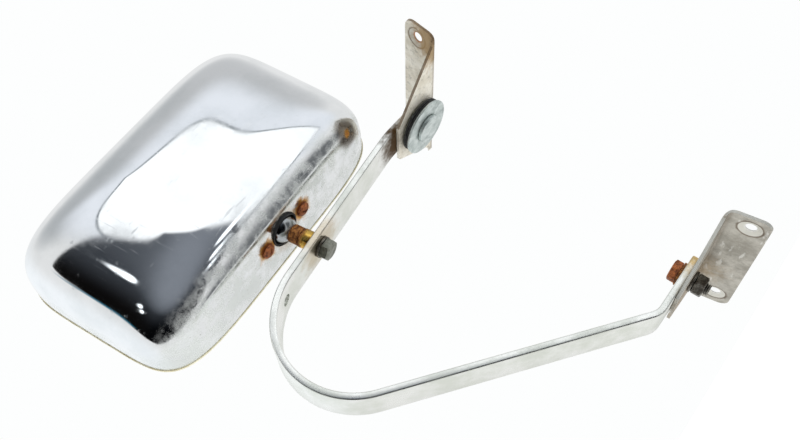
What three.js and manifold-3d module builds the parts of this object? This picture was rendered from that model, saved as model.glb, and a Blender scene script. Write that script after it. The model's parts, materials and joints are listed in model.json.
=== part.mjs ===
// Swing-away door mirror for a right-hand car or truck door.
//
// A chromed pressed-steel head with its glass facing the driver sits on a ball stud, the stud is bolted
// to a flat bar bent into a loop, and a folded door bracket swings on a pivot at each end of the bar.
// Millimetres, +Z up, +X away from the door, glass facing -Y. The origin is on the lower bracket's door
// face, midway between its two screw holes. The pivots share one vertical axis, the swing axis.
import * as THREE from 'three';
import { mergeVertices } from 'three/addons/utils/BufferGeometryUtils.js';
import Module from 'manifold-3d';

const wasm = await Module();
wasm.setup();

const DEG = Math.PI / 180;

// ---- Clearances ----
const GAP = 0.3;            // between faces that touch on the real object
const HOLE_GAP = 0.3;       // radial, between a pin and its hole

// ---- Flat bar arm ----
const BAR_WIDTH = 25.4;
const BAR_THICK = 4.76;
const BAR_BEVEL = 0.8;      // rolled corner of the bar stock
const BAR_TIP_RADIUS = 5;   // rounded corners at both ends
const PIVOT_HEIGHT = 212.3; // between the bar's two end tabs
const TAB_REACH = 11;       // how far a tab runs past the swing axis
const TOP_BEND_START = 25;  // from the swing axis to the first slight bend
const TOP_BEND_RADIUS = 60;
const TOP_SLOPE = 8;        // the upper leg falls away from the door by this angle
const UPPER_LEG = 114.7;    // straight part of the upper leg
const WIDE_BEND_RADIUS = 60;
const WIDE_BEND_ANGLE = 37;
const TIGHT_BEND_RADIUS = 49;
const LOWER_LEG_TURN = 142.7; // heading of the lower leg, measured round from straight outboard
const LOWER_BEND_RADIUS = 13.5;

// ---- Stud and spare hole on the upper leg ----
const STUD_DISTANCE = 84.3; // along the upper leg from the end of the slight bend
const SPARE_HOLE_DISTANCE = 43; // further along the bar from the stud
const SPARE_HOLE_DIAMETER = 8;

// ---- Fasteners: 5/16 in bolts with 1/2 in heads ----
const BOLT_DIAMETER = 8;
const HEX_ACROSS_FLATS = 12.7;
const HEX_HEAD_HEIGHT = 5.3;
const NUT_HEIGHT = 6.9;
const THREAD_PAST_NUT = 3;
const SMALL_WASHER_DIAMETER = 16;
const SMALL_WASHER_THICK = 1.6;

// ---- Upper pivot stack ----
const FLAT_WASHER_DIAMETER = 37;
const FLAT_WASHER_THICK = 1;
const RUBBER_WASHER_DIAMETER = 39.5;
const RUBBER_WASHER_THICK = 1.7;
const STEEL_WASHER_DIAMETER = 41;
const STEEL_WASHER_THICK = 1.6;
const PIN_HEAD_DIAMETER = 21;
const PIN_HEAD_HEIGHT = 2.6;
const PIN_END_DIAMETER = 13;  // the end hammered over the top washer
const PIN_END_HEIGHT = 2.4;

// ---- Door brackets: one pressing, used both ways up ----
const SHEET = 2;
const FOLD_INNER_RADIUS = 2;
const DOOR_DISTANCE = 19;   // from the swing axis to the door face at the fold
const DOOR_LEAN = 9.2;      // the plate leans toward the door, away from its fold
const PLATE_WIDTH = 27.4;   // from the flange's mid-plane to the free edge
const PLATE_BACK = -50.6;   // ends of the plate along the car
const PLATE_FRONT = 66.8;
const PLATE_CORNER_RADIUS = 7;
const FLANGE_REACH = 22.4;  // outboard end of the flange
const FLANGE_END_FRONT = 12.9;
const FLANGE_END_BACK = -19.1;
const GUSSET_FRONT = 60.7;
const GUSSET_BACK = -40.4;
const FLANGE_CORNER_RADIUS = 3;
const HOLE_FROM_FLANGE = 16.2;
const HOLE_FRONT = 55.4;
const HOLE_BACK = -37.7;
const SCREW_HOLE_DIAMETER = 7;
const COUNTERSINK_DIAMETER = 15;
const COUNTERSINK_DEPTH = 1.5;

// ---- How the loose parts are turned about the swing axis ----
const ARM_TURN = 6.3;
const UPPER_BRACKET_TURN = 1.7;

// ---- Mirror head, measured from the ball joint's opening ----
const HEAD_TILT = 5;        // head turned with the bar's slope
const HEAD_INBOARD = 106;
const HEAD_OUTBOARD = 114.5;
const HEAD_ABOVE = 132.5;
const HEAD_BELOW = 4.3;
const HEAD_PLAN_POWER = 5.5; // squareness of the outline
const RIM_BACK = 21;        // rim plane behind the stud
const CROWN_FRONT = 30;
const DOME_POWER = 2.4;
const SHOULDER_POWER = 4.5;
const SHELL_WALL = 1.2;
const LAND_SLOPE = 0.14;    // draft of the flat land that carries the ball joint
const LAND_START = -12.5;

// ---- Glass and its gasket ----
const GLASS_THICK = 3;
const GASKET_WALL = 2.7;
const GASKET_LIP = 5;
const GASKET_PROUD = 2.6;
const GASKET_OVERHANG = 0.5;
const PAD_THICK = 1.5;

// ---- Ball joint ----
const STUD_LENGTH = 23;     // from the bar's upper face to the land
const SLEEVE_DIAMETER = 13;
const SLEEVE_LENGTH = 9.2;
const SHOULDER_DIAMETER = 12.4;
const SHOULDER_LENGTH = 7;
const NECK_DIAMETER = 9;
const BALL_DIAMETER = 20;
const BALL_DEPTH = 3;       // ball centre inside the land
const OPENING_DIAMETER = 24;
const SCREW_SPACING = 37;
const SCREW_DIAMETER = 4.5;
const SCREW_HEAD_DIAMETER = 10;
const SCREW_HEAD_HEIGHT = 2.6;
const CUP_WALL = 2;
const CLAMP_WIDTH = 26;
const CLAMP_LENGTH = 54;
const CLAMP_SHEET = 1.6;
const SCREW_NUT_ACROSS_FLATS = 7;
const SCREW_NUT_HEIGHT = 3.2;
const SEAL_HEIGHT = 1.6;
const HEAD_ROLL = 5;          // degrees the head can roll each way over the cup

// ---- Geometry helpers ----

// Turns a closed three.js geometry into a manifold solid.
function solid(geometry) {
  const plain = geometry.clone();
  plain.deleteAttribute('normal');
  plain.deleteAttribute('uv');
  const merged = mergeVertices(plain, 1e-4);
  const mesh = new wasm.Mesh({
    numProp: 3,
    vertProperties: new Float32Array(merged.attributes.position.array),
    triVerts: new Uint32Array(merged.index.array),
  });
  return new wasm.Manifold(mesh);
}

// Turns a manifold solid back into a three.js geometry.
function toGeometry(body) {
  const mesh = body.getMesh();
  const geometry = new THREE.BufferGeometry();
  geometry.setAttribute('position', new THREE.BufferAttribute(new Float32Array(mesh.vertProperties), 3));
  geometry.setIndex(new THREE.BufferAttribute(new Uint32Array(mesh.triVerts), 1));
  geometry.computeVertexNormals();
  return geometry;
}

// A body of revolution about Z from [radius, z] points that start and end on the axis or close.
function lathe(profile, segments = 28) {
  const points = profile.map(([radius, z]) => new THREE.Vector2(radius, z));
  return new THREE.LatheGeometry(points, segments).rotateX(Math.PI / 2);
}

// A round bar about Z between two heights.
function rod(diameter, z0, z1, segments = 24) {
  return lathe([[0, z0], [diameter / 2, z0], [diameter / 2, z1], [0, z1]], segments);
}

// A flat ring about Z.
function ring(outerDiameter, innerDiameter, z0, z1, segments = 28) {
  const outer = outerDiameter / 2;
  const inner = innerDiameter / 2;
  return lathe([[inner, z0], [outer, z0], [outer, z1], [inner, z1], [inner, z0]], segments);
}

// A hexagonal prism about Z.
function hexPrism(acrossFlats, z0, z1) {
  return rod(acrossFlats / Math.cos(30 * DEG), z0, z1, 6);
}

// A polygon in the XY plane, extruded from z0 to z1.
function prism(points, z0, z1) {
  const shape = new THREE.Shape(points.map(([x, y]) => new THREE.Vector2(x, y)));
  const geometry = new THREE.ExtrudeGeometry(shape, { depth: z1 - z0, bevelEnabled: false });
  return geometry.translate(0, 0, z0);
}

// A polygon in the XZ plane, extruded from y0 to y1.
function prismAlongY(points, y0, y1) {
  return prism(points, -y1, -y0).rotateX(Math.PI / 2);
}

// A polygon given as [y, z] points, extruded from x0 to x1.
function prismAlongX(points, x0, x1) {
  const turned = prism(points, x0, x1);
  const axes = new THREE.Matrix4().makeBasis(
    new THREE.Vector3(0, 1, 0),
    new THREE.Vector3(0, 0, 1),
    new THREE.Vector3(1, 0, 0),
  );
  return turned.applyMatrix4(axes);
}

// Rounds the corners of a convex polygon; each corner is [x, y, radius].
function roundCorners(corners, steps = 5) {
  const points = [];
  corners.forEach(([x, y, radius], i) => {
    const corner = new THREE.Vector2(x, y);
    const before = corners[(i + corners.length - 1) % corners.length];
    const after = corners[(i + 1) % corners.length];
    const toBefore = new THREE.Vector2(before[0], before[1]).sub(corner).normalize();
    const toAfter = new THREE.Vector2(after[0], after[1]).sub(corner).normalize();
    if (!radius) {
      points.push([x, y]);
      return;
    }
    const half = Math.acos(toBefore.dot(toAfter)) / 2;
    const reach = radius / Math.tan(half);
    const start = corner.clone().addScaledVector(toBefore, reach);
    const end = corner.clone().addScaledVector(toAfter, reach);
    const middle = toBefore.clone().add(toAfter).normalize();
    const centre = corner.clone().addScaledVector(middle, radius / Math.sin(half));
    const a0 = Math.atan2(start.y - centre.y, start.x - centre.x);
    const a1 = Math.atan2(end.y - centre.y, end.x - centre.x);
    const sweep = Math.atan2(Math.sin(a1 - a0), Math.cos(a1 - a0));
    for (let k = 0; k <= steps; k += 1) {
      const angle = a0 + (sweep * k) / steps;
      points.push([centre.x + radius * Math.cos(angle), centre.y + radius * Math.sin(angle)]);
    }
  });
  return points;
}

// ---- Finishes ----
function finish(color, roughness, metalness) {
  return new THREE.MeshStandardMaterial({ color, roughness, metalness });
}

const CHROME = finish('#c9ced1', 0.12, 1);
const PLATED_BAR = finish('#d8dad4', 0.3, 1);
const DULL_PLATE = finish('#aaa59a', 0.5, 0.9);
const RUSTY = finish('#7a4426', 0.85, 0.3);
const GREY_STEEL = finish('#8b8e8b', 0.5, 0.9);
const ZINC = finish('#b9c2c1', 0.4, 1);
const GOLD_ZINC = finish('#b98a3c', 0.35, 1);
const BLACK_RUBBER = finish('#26272a', 0.8, 0);
const PALE_GASKET = finish('#d9cfa2', 0.6, 0);
const MIRROR_GLASS = finish('#e6eaec', 0.03, 1);
const BOARD = finish('#6b5a45', 0.9, 0);

const group = new THREE.Group();
const fixedGroup = new THREE.Group();
const armGroup = new THREE.Group();
const upperGroup = new THREE.Group();
const studGroup = new THREE.Group();
const headGroup = new THREE.Group();

function addMesh(parent, name, geometry, material) {
  const mesh = new THREE.Mesh(geometry, material);
  mesh.name = name;
  parent.add(mesh);
}

// ---- Flat bar ----

// Stations along the bar's centre-line in the XZ plane: { x, z, heading }, the heading turning down
// from straight outboard (0) to straight inboard (half a turn).
function barStretches() {
  const tightTurn = LOWER_LEG_TURN - WIDE_BEND_ANGLE - TOP_SLOPE;
  const lowerTurn = 180 - LOWER_LEG_TURN;
  const arc = (radius, turn) => ({ radius, turn: turn * DEG, length: radius * turn * DEG });
  const straight = (length) => ({ radius: 0, turn: 0, length });
  const fall = (radius, from, to) => radius * (Math.cos(from * DEG) - Math.cos(to * DEG));
  const wideEnd = TOP_SLOPE + WIDE_BEND_ANGLE;
  const bendsFall = fall(TOP_BEND_RADIUS, 0, TOP_SLOPE)
    + UPPER_LEG * Math.sin(TOP_SLOPE * DEG)
    + fall(WIDE_BEND_RADIUS, TOP_SLOPE, wideEnd)
    + fall(TIGHT_BEND_RADIUS, wideEnd, LOWER_LEG_TURN)
    + fall(LOWER_BEND_RADIUS, LOWER_LEG_TURN, 180);
  const lowerLeg = (PIVOT_HEIGHT - bendsFall) / Math.sin(LOWER_LEG_TURN * DEG);
  return [
    straight(TAB_REACH + TOP_BEND_START),
    arc(TOP_BEND_RADIUS, TOP_SLOPE),
    straight(UPPER_LEG),
    arc(WIDE_BEND_RADIUS, WIDE_BEND_ANGLE),
    arc(TIGHT_BEND_RADIUS, tightTurn),
    straight(lowerLeg),
    arc(LOWER_BEND_RADIUS, lowerTurn),
  ];
}

// Moves a station along one stretch by a share of its length.
function advance(station, stretch, share) {
  const { x, z, heading } = station;
  if (!stretch.radius) {
    const run = stretch.length * share;
    return { x: x + run * Math.cos(heading), z: z - run * Math.sin(heading), heading };
  }
  const turned = heading + stretch.turn * share;
  return {
    x: x + stretch.radius * (Math.sin(turned) - Math.sin(heading)),
    z: z - stretch.radius * (Math.cos(heading) - Math.cos(turned)),
    heading: turned,
  };
}

// The station at a distance along the bar from its upper tip.
function barStation(distance) {
  let station = { x: -TAB_REACH, z: PIVOT_HEIGHT, heading: 0 };
  let left = distance;
  for (const stretch of barStretches()) {
    if (left <= stretch.length) {
      return advance(station, stretch, left / stretch.length);
    }
    left -= stretch.length;
    station = advance(station, stretch, 1);
  }
  return station;
}

function barStations() {
  const stations = [{ x: -TAB_REACH, z: PIVOT_HEIGHT, heading: 0 }];
  for (const stretch of barStretches()) {
    const start = stations[stations.length - 1];
    const steps = stretch.radius ? Math.max(2, Math.round(stretch.turn / (7 * DEG))) : 1;
    for (let k = 1; k <= steps; k += 1) {
      stations.push(advance(start, stretch, k / steps));
    }
  }
  const last = stations[stations.length - 1];
  stations.push({ x: -TAB_REACH, z: last.z, heading: last.heading });
  return stations;
}

function besideBar({ x, z, heading }, offset) {
  return new THREE.Vector2(x + offset * Math.sin(heading), z + offset * Math.cos(heading));
}

const TIP_TO_LEG = TAB_REACH + TOP_BEND_START + TOP_BEND_RADIUS * TOP_SLOPE * DEG;
const STUD_STATION = barStation(TIP_TO_LEG + STUD_DISTANCE);

// A drill through the bar, square to its face at one station.
function barDrill(station, diameter) {
  const length = 3 * BAR_THICK;
  const drill = rod(diameter, -length, length);
  drill.rotateY(station.heading);
  return drill.translate(station.x, 0, station.z);
}

function armStrip() {
  const stations = barStations();
  const above = stations.map((station) => besideBar(station, BAR_THICK / 2));
  const below = stations.map((station) => besideBar(station, -BAR_THICK / 2));
  const shape = new THREE.Shape([...above, ...below.reverse()]);
  const depth = BAR_WIDTH - 2 * BAR_BEVEL;
  const bar = new THREE.ExtrudeGeometry(shape, {
    depth,
    bevelThickness: BAR_BEVEL,
    bevelSize: BAR_BEVEL,
    bevelOffset: -BAR_BEVEL,
    bevelSegments: 2,
  });
  bar.rotateX(Math.PI / 2);
  bar.translate(0, depth / 2, 0);
  const reach = 2 * PIVOT_HEIGHT;
  const side = BAR_WIDTH / 2 + 1;
  const plan = roundCorners([
    [-TAB_REACH, -BAR_WIDTH / 2, BAR_TIP_RADIUS],
    [reach, -BAR_WIDTH / 2, 0],
    [reach, BAR_WIDTH / 2, 0],
    [-TAB_REACH, BAR_WIDTH / 2, BAR_TIP_RADIUS],
  ]);
  const tips = prism(plan, -side, PIVOT_HEIGHT + side);
  const pivotHole = rod(BOLT_DIAMETER + 2 * HOLE_GAP, -side, PIVOT_HEIGHT + side);
  const spare = barStation(TIP_TO_LEG + STUD_DISTANCE + SPARE_HOLE_DISTANCE);
  const cut = solid(bar)
    .intersect(solid(tips))
    .subtract(solid(pivotHole))
    .subtract(solid(barDrill(STUD_STATION, BOLT_DIAMETER + 2 * HOLE_GAP)))
    .subtract(solid(barDrill(spare, SPARE_HOLE_DIAMETER)));
  return toGeometry(cut);
}

// ---- Door bracket ----

// The pressing with its flange's mid-plane at z 0 and its plate standing up, pivot hole on the Z axis.
function bracketSolid() {
  const lean = DOOR_LEAN * DEG;
  const half = SHEET / 2;
  const alongPlate = [-Math.sin(lean), Math.cos(lean)];
  const outward = [Math.cos(lean), Math.sin(lean)];
  // Where the plate's door face meets the flange's lower face, as a sharp corner.
  const corner = [-DOOR_DISTANCE, -half];
  const onDoorFace = (u) => [corner[0] + u * alongPlate[0], corner[1] + u * alongPlate[1]];
  const top = PLATE_WIDTH / Math.cos(lean);
  const doorTop = onDoorFace(top);
  const innerTop = [doorTop[0] + SHEET * outward[0], doorTop[1] + SHEET * outward[1]];
  const innerRise = (half - corner[1] - SHEET * outward[1]) / alongPlate[1];
  const innerCorner = [
    corner[0] + SHEET * outward[0] + innerRise * alongPlate[0],
    half,
  ];
  const section = roundCorners([
    [FLANGE_REACH, -half, 0],
    [FLANGE_REACH, half, 0],
    [innerCorner[0], innerCorner[1], FOLD_INNER_RADIUS],
    [innerTop[0], innerTop[1], 0],
    [doorTop[0], doorTop[1], 0],
    [corner[0], corner[1], FOLD_INNER_RADIUS + SHEET],
  ]);
  const pressing = prismAlongY(section, PLATE_BACK, PLATE_FRONT);

  const foldEdge = -DOOR_DISTANCE + SHEET + FOLD_INNER_RADIUS;
  const farDoor = -DOOR_DISTANCE - PLATE_WIDTH;
  const flangePlan = [
    [farDoor, PLATE_BACK - 1],
    [foldEdge, PLATE_BACK - 1],
    [foldEdge, GUSSET_BACK],
    ...roundCorners([
      [foldEdge, GUSSET_BACK, 0],
      [FLANGE_REACH, FLANGE_END_BACK, FLANGE_CORNER_RADIUS],
      [FLANGE_REACH, FLANGE_END_FRONT, FLANGE_CORNER_RADIUS],
      [foldEdge, GUSSET_FRONT, 0],
    ]).slice(1),
    [foldEdge, PLATE_FRONT + 1],
    [farDoor, PLATE_FRONT + 1],
  ];
  const plateSide = roundCorners([
    [PLATE_BACK, -half, PLATE_CORNER_RADIUS],
    [PLATE_FRONT, -half, PLATE_CORNER_RADIUS],
    [PLATE_FRONT, doorTop[1], PLATE_CORNER_RADIUS],
    [PLATE_BACK, doorTop[1], PLATE_CORNER_RADIUS],
  ]);
  const reach = FLANGE_REACH + 1;
  let body = solid(pressing)
    .intersect(solid(prism(flangePlan, -half - 1, PLATE_WIDTH + 1)))
    .intersect(solid(prismAlongX(plateSide, farDoor, reach)))
    .subtract(solid(rod(BOLT_DIAMETER + 2 * HOLE_GAP, -SHEET, SHEET)));
  for (const y of [HOLE_BACK, HOLE_FRONT]) {
    body = body.subtract(solid(countersinkTool(y)));
  }
  return body;
}

// The screw hole and its countersink, its axis square to the plate, the wide end outboard.
function countersinkTool(y) {
  const lean = DOOR_LEAN * DEG;
  const u = HOLE_FROM_FLANGE / Math.cos(lean);
  const hole = SCREW_HOLE_DIAMETER / 2;
  const wide = COUNTERSINK_DIAMETER / 2;
  const slope = (wide - hole) / COUNTERSINK_DEPTH;
  const tool = lathe([
    [0, -SHEET],
    [hole, -SHEET],
    [hole, SHEET - COUNTERSINK_DEPTH],
    [wide + slope, SHEET + 1],
    [0, SHEET + 1],
  ], 24);
  tool.rotateY(90 * DEG - lean);
  const x = -DOOR_DISTANCE - u * Math.sin(lean);
  const z = -SHEET / 2 + u * Math.cos(lean);
  return tool.translate(x, y, z);
}

// Height of each bracket flange's mid-plane above the lower tab's mid-plane.
const FLANGE_BELOW_BAR = BAR_THICK / 2 + GAP + SHEET / 2;
const UPPER_FLANGE_Z = PIVOT_HEIGHT - FLANGE_BELOW_BAR;
const LOWER_FLANGE_Z = -FLANGE_BELOW_BAR;

function upperBracket() {
  return toGeometry(bracketSolid()).translate(0, 0, UPPER_FLANGE_Z);
}

function lowerBracket() {
  const turnedOver = bracketSolid().mirror([0, 0, 1]);
  return toGeometry(turnedOver).translate(0, 0, LOWER_FLANGE_Z);
}

// ---- Lower hinge: bolt from above, nut below the flange ----
function addLowerHinge() {
  const hole = BOLT_DIAMETER + 2 * HOLE_GAP;
  const washerZ = BAR_THICK / 2 + GAP;
  const headZ = washerZ + SMALL_WASHER_THICK + GAP;
  const lockTop = LOWER_FLANGE_Z - SHEET / 2 - GAP;
  const nutTop = lockTop - SMALL_WASHER_THICK - GAP;
  const nutBottom = nutTop - NUT_HEIGHT;
  const bolt = solid(hexPrism(HEX_ACROSS_FLATS, headZ, headZ + HEX_HEAD_HEIGHT))
    .add(solid(rod(BOLT_DIAMETER, nutBottom - THREAD_PAST_NUT, headZ + 1)));
  const nut = solid(hexPrism(HEX_ACROSS_FLATS, nutBottom, nutTop))
    .subtract(solid(rod(hole, nutBottom - 1, nutTop + 1)));
  const washer = ring(SMALL_WASHER_DIAMETER, hole, washerZ, washerZ + SMALL_WASHER_THICK);
  const lockWasher = ring(SMALL_WASHER_DIAMETER - 1.5, hole, lockTop - SMALL_WASHER_THICK, lockTop);
  addMesh(fixedGroup, 'lower_bracket', lowerBracket(), DULL_PLATE);
  addMesh(fixedGroup, 'hinge_bolt', toGeometry(bolt), RUSTY);
  addMesh(fixedGroup, 'hinge_washer', washer, GOLD_ZINC);
  addMesh(fixedGroup, 'hinge_lock_washer', lockWasher, GREY_STEEL);
  addMesh(fixedGroup, 'hinge_nut', toGeometry(nut), GREY_STEEL);
}

// ---- Upper pivot: headed pin from below, washers under the flange, nut on top ----
function addUpperPivot() {
  const hole = BOLT_DIAMETER + 2 * HOLE_GAP;
  const stack = [
    ['flat_washer', FLAT_WASHER_DIAMETER, FLAT_WASHER_THICK, GREY_STEEL],
    ['rubber_washer_upper', RUBBER_WASHER_DIAMETER, RUBBER_WASHER_THICK, BLACK_RUBBER],
    ['rubber_washer_lower', RUBBER_WASHER_DIAMETER, RUBBER_WASHER_THICK, BLACK_RUBBER],
    ['steel_washer', STEEL_WASHER_DIAMETER, STEEL_WASHER_THICK, ZINC],
  ];
  addMesh(upperGroup, 'upper_bracket', upperBracket(), DULL_PLATE);
  let z = UPPER_FLANGE_Z - SHEET / 2 - GAP;
  for (const [name, diameter, thick, material] of stack) {
    addMesh(upperGroup, name, ring(diameter, hole, z - thick, z), material);
    z -= thick + GAP;
  }
  const topWasherZ = PIVOT_HEIGHT + BAR_THICK / 2 + GAP;
  const endZ = topWasherZ + SMALL_WASHER_THICK + GAP;
  const endRadius = PIN_END_DIAMETER / 2;
  const pin = lathe([
    [0, z - PIN_HEAD_HEIGHT],
    [PIN_HEAD_DIAMETER / 2, z - PIN_HEAD_HEIGHT],
    [PIN_HEAD_DIAMETER / 2, z],
    [BOLT_DIAMETER / 2, z],
    [BOLT_DIAMETER / 2, endZ],
    [endRadius, endZ],
    [endRadius, endZ + PIN_END_HEIGHT / 3],
    [0.8 * endRadius, endZ + PIN_END_HEIGHT * 0.8],
    [0.4 * endRadius, endZ + PIN_END_HEIGHT],
    [0, endZ + PIN_END_HEIGHT],
  ]);
  const washer = ring(SMALL_WASHER_DIAMETER, hole, topWasherZ, topWasherZ + SMALL_WASHER_THICK);
  addMesh(upperGroup, 'pivot_pin', pin, ZINC);
  addMesh(upperGroup, 'pivot_washer', washer, GREY_STEEL);
}

// ---- Stud on the upper leg; its group's Z axis is the stud's axis, z 0 the bar's mid-plane ----
function addStud() {
  const hole = BOLT_DIAMETER + 2 * HOLE_GAP;
  const barTop = BAR_THICK / 2;
  const lockTop = -barTop - GAP;
  const headTop = lockTop - SMALL_WASHER_THICK - GAP;
  const sleeveZ = barTop + GAP;
  const sleeveTop = sleeveZ + SLEEVE_LENGTH;
  const bolt = solid(hexPrism(HEX_ACROSS_FLATS, headTop - HEX_HEAD_HEIGHT, headTop))
    .add(solid(rod(BOLT_DIAMETER, headTop - 1, sleeveTop - GAP)));
  const lockWasher = ring(SMALL_WASHER_DIAMETER - 1.5, hole, lockTop - SMALL_WASHER_THICK, lockTop);
  addMesh(studGroup, 'stud_bolt', toGeometry(bolt), GREY_STEEL);
  addMesh(studGroup, 'stud_lock_washer', lockWasher, GREY_STEEL);
  addMesh(studGroup, 'stud_sleeve', ring(SLEEVE_DIAMETER, hole, sleeveZ, sleeveTop), GOLD_ZINC);

  const shoulderZ = sleeveTop + GAP;
  const shoulderTop = shoulderZ + SHOULDER_LENGTH;
  const ballZ = barTop + STUD_LENGTH + BALL_DEPTH;
  const ballRadius = BALL_DIAMETER / 2;
  const neckAngle = Math.asin(NECK_DIAMETER / BALL_DIAMETER);
  const profile = [
    [0, shoulderZ],
    [SHOULDER_DIAMETER / 2, shoulderZ],
    [SHOULDER_DIAMETER / 2, shoulderTop],
    [NECK_DIAMETER / 2, shoulderTop + 1.5],
  ];
  const steps = 12;
  for (let k = 0; k <= steps; k += 1) {
    const angle = neckAngle + ((Math.PI - neckAngle) * k) / steps;
    const radius = k === steps ? 0 : ballRadius * Math.sin(angle);
    profile.push([radius, ballZ - ballRadius * Math.cos(angle)]);
  }
  addMesh(studGroup, 'ball_stud', lathe(profile), RUSTY);
}

// ---- Mirror head; its group's origin is the ball centre ----

// A pillow-shaped cap on the rim plane: rounded-rectangle outline, domed toward +Y.
function pillow(inset, around, rings) {
  const halfWidth = (HEAD_OUTBOARD + HEAD_INBOARD) / 2 - inset;
  const halfHeight = (HEAD_ABOVE + HEAD_BELOW) / 2 - inset;
  const depth = RIM_BACK + CROWN_FRONT - inset;
  const points = [new THREE.Vector2(0, -RIM_BACK), new THREE.Vector2(1, -RIM_BACK)];
  for (let k = 1; k < rings; k += 1) {
    const angle = (k / rings) * 90 * DEG;
    const reach = Math.cos(angle) ** (2 / SHOULDER_POWER);
    const rise = (1 - reach ** DOME_POWER) ** (1 / SHOULDER_POWER);
    points.push(new THREE.Vector2(reach, -RIM_BACK + depth * rise));
  }
  points.push(new THREE.Vector2(0, -RIM_BACK + depth));
  const geometry = new THREE.LatheGeometry(points, around);
  return squareOff(geometry, halfWidth, halfHeight);
}

// A circle's coordinate pulled toward a square's; the tiny ones are true zeros on the lathe's seam.
function squared(share) {
  return Math.abs(share) < 1e-9 ? 0 : Math.sign(share) * Math.abs(share) ** (2 / HEAD_PLAN_POWER);
}

// Stretches a round body about Y, of unit radius, to the head's rounded-rectangle outline.
function squareOff(geometry, halfWidth, halfHeight) {
  const position = geometry.attributes.position;
  for (let i = 0; i < position.count; i += 1) {
    const x = position.getX(i);
    const z = position.getZ(i);
    const reach = Math.hypot(x, z);
    if (reach < 1e-6) {
      position.setXYZ(i, headCentreX(), position.getY(i), headCentreZ());
      continue;
    }
    const across = squared(x / reach) * reach * halfWidth;
    const up = squared(z / reach) * reach * halfHeight;
    position.setXYZ(i, headCentreX() + across, position.getY(i), headCentreZ() + up);
  }
  return geometry;
}

function headCentreX() {
  return (HEAD_OUTBOARD - HEAD_INBOARD) / 2;
}

function headCentreZ() {
  return (HEAD_ABOVE - HEAD_BELOW) / 2 - BALL_DEPTH;
}

// A plate of the head's outline, shrunk by an inset, between two distances along Y.
function outlinePlate(inset, y0, y1, around = 56) {
  const profile = [[0, y0], [1, y0], [1, y1], [0, y1]];
  const points = profile.map(([radius, y]) => new THREE.Vector2(radius, y));
  const geometry = new THREE.LatheGeometry(points, around);
  const halfWidth = (HEAD_OUTBOARD + HEAD_INBOARD) / 2 - inset;
  const halfHeight = (HEAD_ABOVE + HEAD_BELOW) / 2 - inset;
  return squareOff(geometry, halfWidth, halfHeight);
}

// What is taken off the lower wall to leave the flat land, moved inward by an inset.
function landCutter(inset) {
  const far = CROWN_FRONT + 20;
  const land = (y) => LAND_SLOPE * y - BALL_DEPTH + inset;
  const step = HEAD_BELOW + LAND_SLOPE * LAND_START + 1;
  const outline = [
    [LAND_START, land(LAND_START)],
    [LAND_START - step, land(LAND_START) - step],
    [LAND_START - step, -3 * HEAD_BELOW - BALL_DEPTH],
    [far, -3 * HEAD_BELOW - BALL_DEPTH],
    [far, land(far)],
  ];
  return prismAlongX(outline, -2 * HEAD_INBOARD, 2 * HEAD_OUTBOARD);
}

function headShell() {
  const around = 56;
  const rings = 13;
  const outer = solid(pillow(0, around, rings)).subtract(solid(landCutter(0)));
  const inner = solid(pillow(SHELL_WALL, around, rings))
    .add(solid(outlinePlate(SHELL_WALL, -RIM_BACK - 1, -RIM_BACK + 1)))
    .subtract(solid(landCutter(SHELL_WALL)));
  let shell = outer.subtract(inner);
  shell = shell.subtract(solid(rod(OPENING_DIAMETER, -BALL_DEPTH - 10, 10 - BALL_DEPTH, 32)));
  for (const x of [-SCREW_SPACING / 2, SCREW_SPACING / 2]) {
    const hole = rod(SCREW_DIAMETER + 2 * HOLE_GAP, -BALL_DEPTH - 10, 10 - BALL_DEPTH, 16);
    shell = shell.subtract(solid(hole.translate(x, 0, 0)));
  }
  return toGeometry(shell);
}

function glassGasket() {
  const front = -RIM_BACK - GASKET_PROUD;
  const skirtEnd = -RIM_BACK + GASKET_LIP;
  const bead = solid(outlinePlate(-GASKET_OVERHANG, front, -RIM_BACK - GAP));
  const skirt = solid(outlinePlate(SHELL_WALL + GAP, front + 1, skirtEnd));
  const window = solid(outlinePlate(GASKET_LIP, front - 1, skirtEnd + 1));
  const seat = solid(outlinePlate(SHELL_WALL + GAP + GASKET_WALL - 1, -RIM_BACK, skirtEnd + 1));
  return toGeometry(bead.add(skirt).subtract(window).subtract(seat));
}

function addHead() {
  const seatInset = SHELL_WALL + 2 * GAP + GASKET_WALL - 1;
  const glassBack = -RIM_BACK + GAP;
  const padBack = glassBack + GLASS_THICK + GAP;
  const glass = outlinePlate(seatInset, glassBack, glassBack + GLASS_THICK);
  const pad = outlinePlate(seatInset + 4, padBack, padBack + PAD_THICK);
  addMesh(headGroup, 'head_shell', headShell(), CHROME);
  addMesh(headGroup, 'mirror_glass', glass, MIRROR_GLASS);
  addMesh(headGroup, 'glass_gasket', glassGasket(), PALE_GASKET);
  addMesh(headGroup, 'glass_pad', pad, BOARD);
  addSocket();
}

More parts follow.
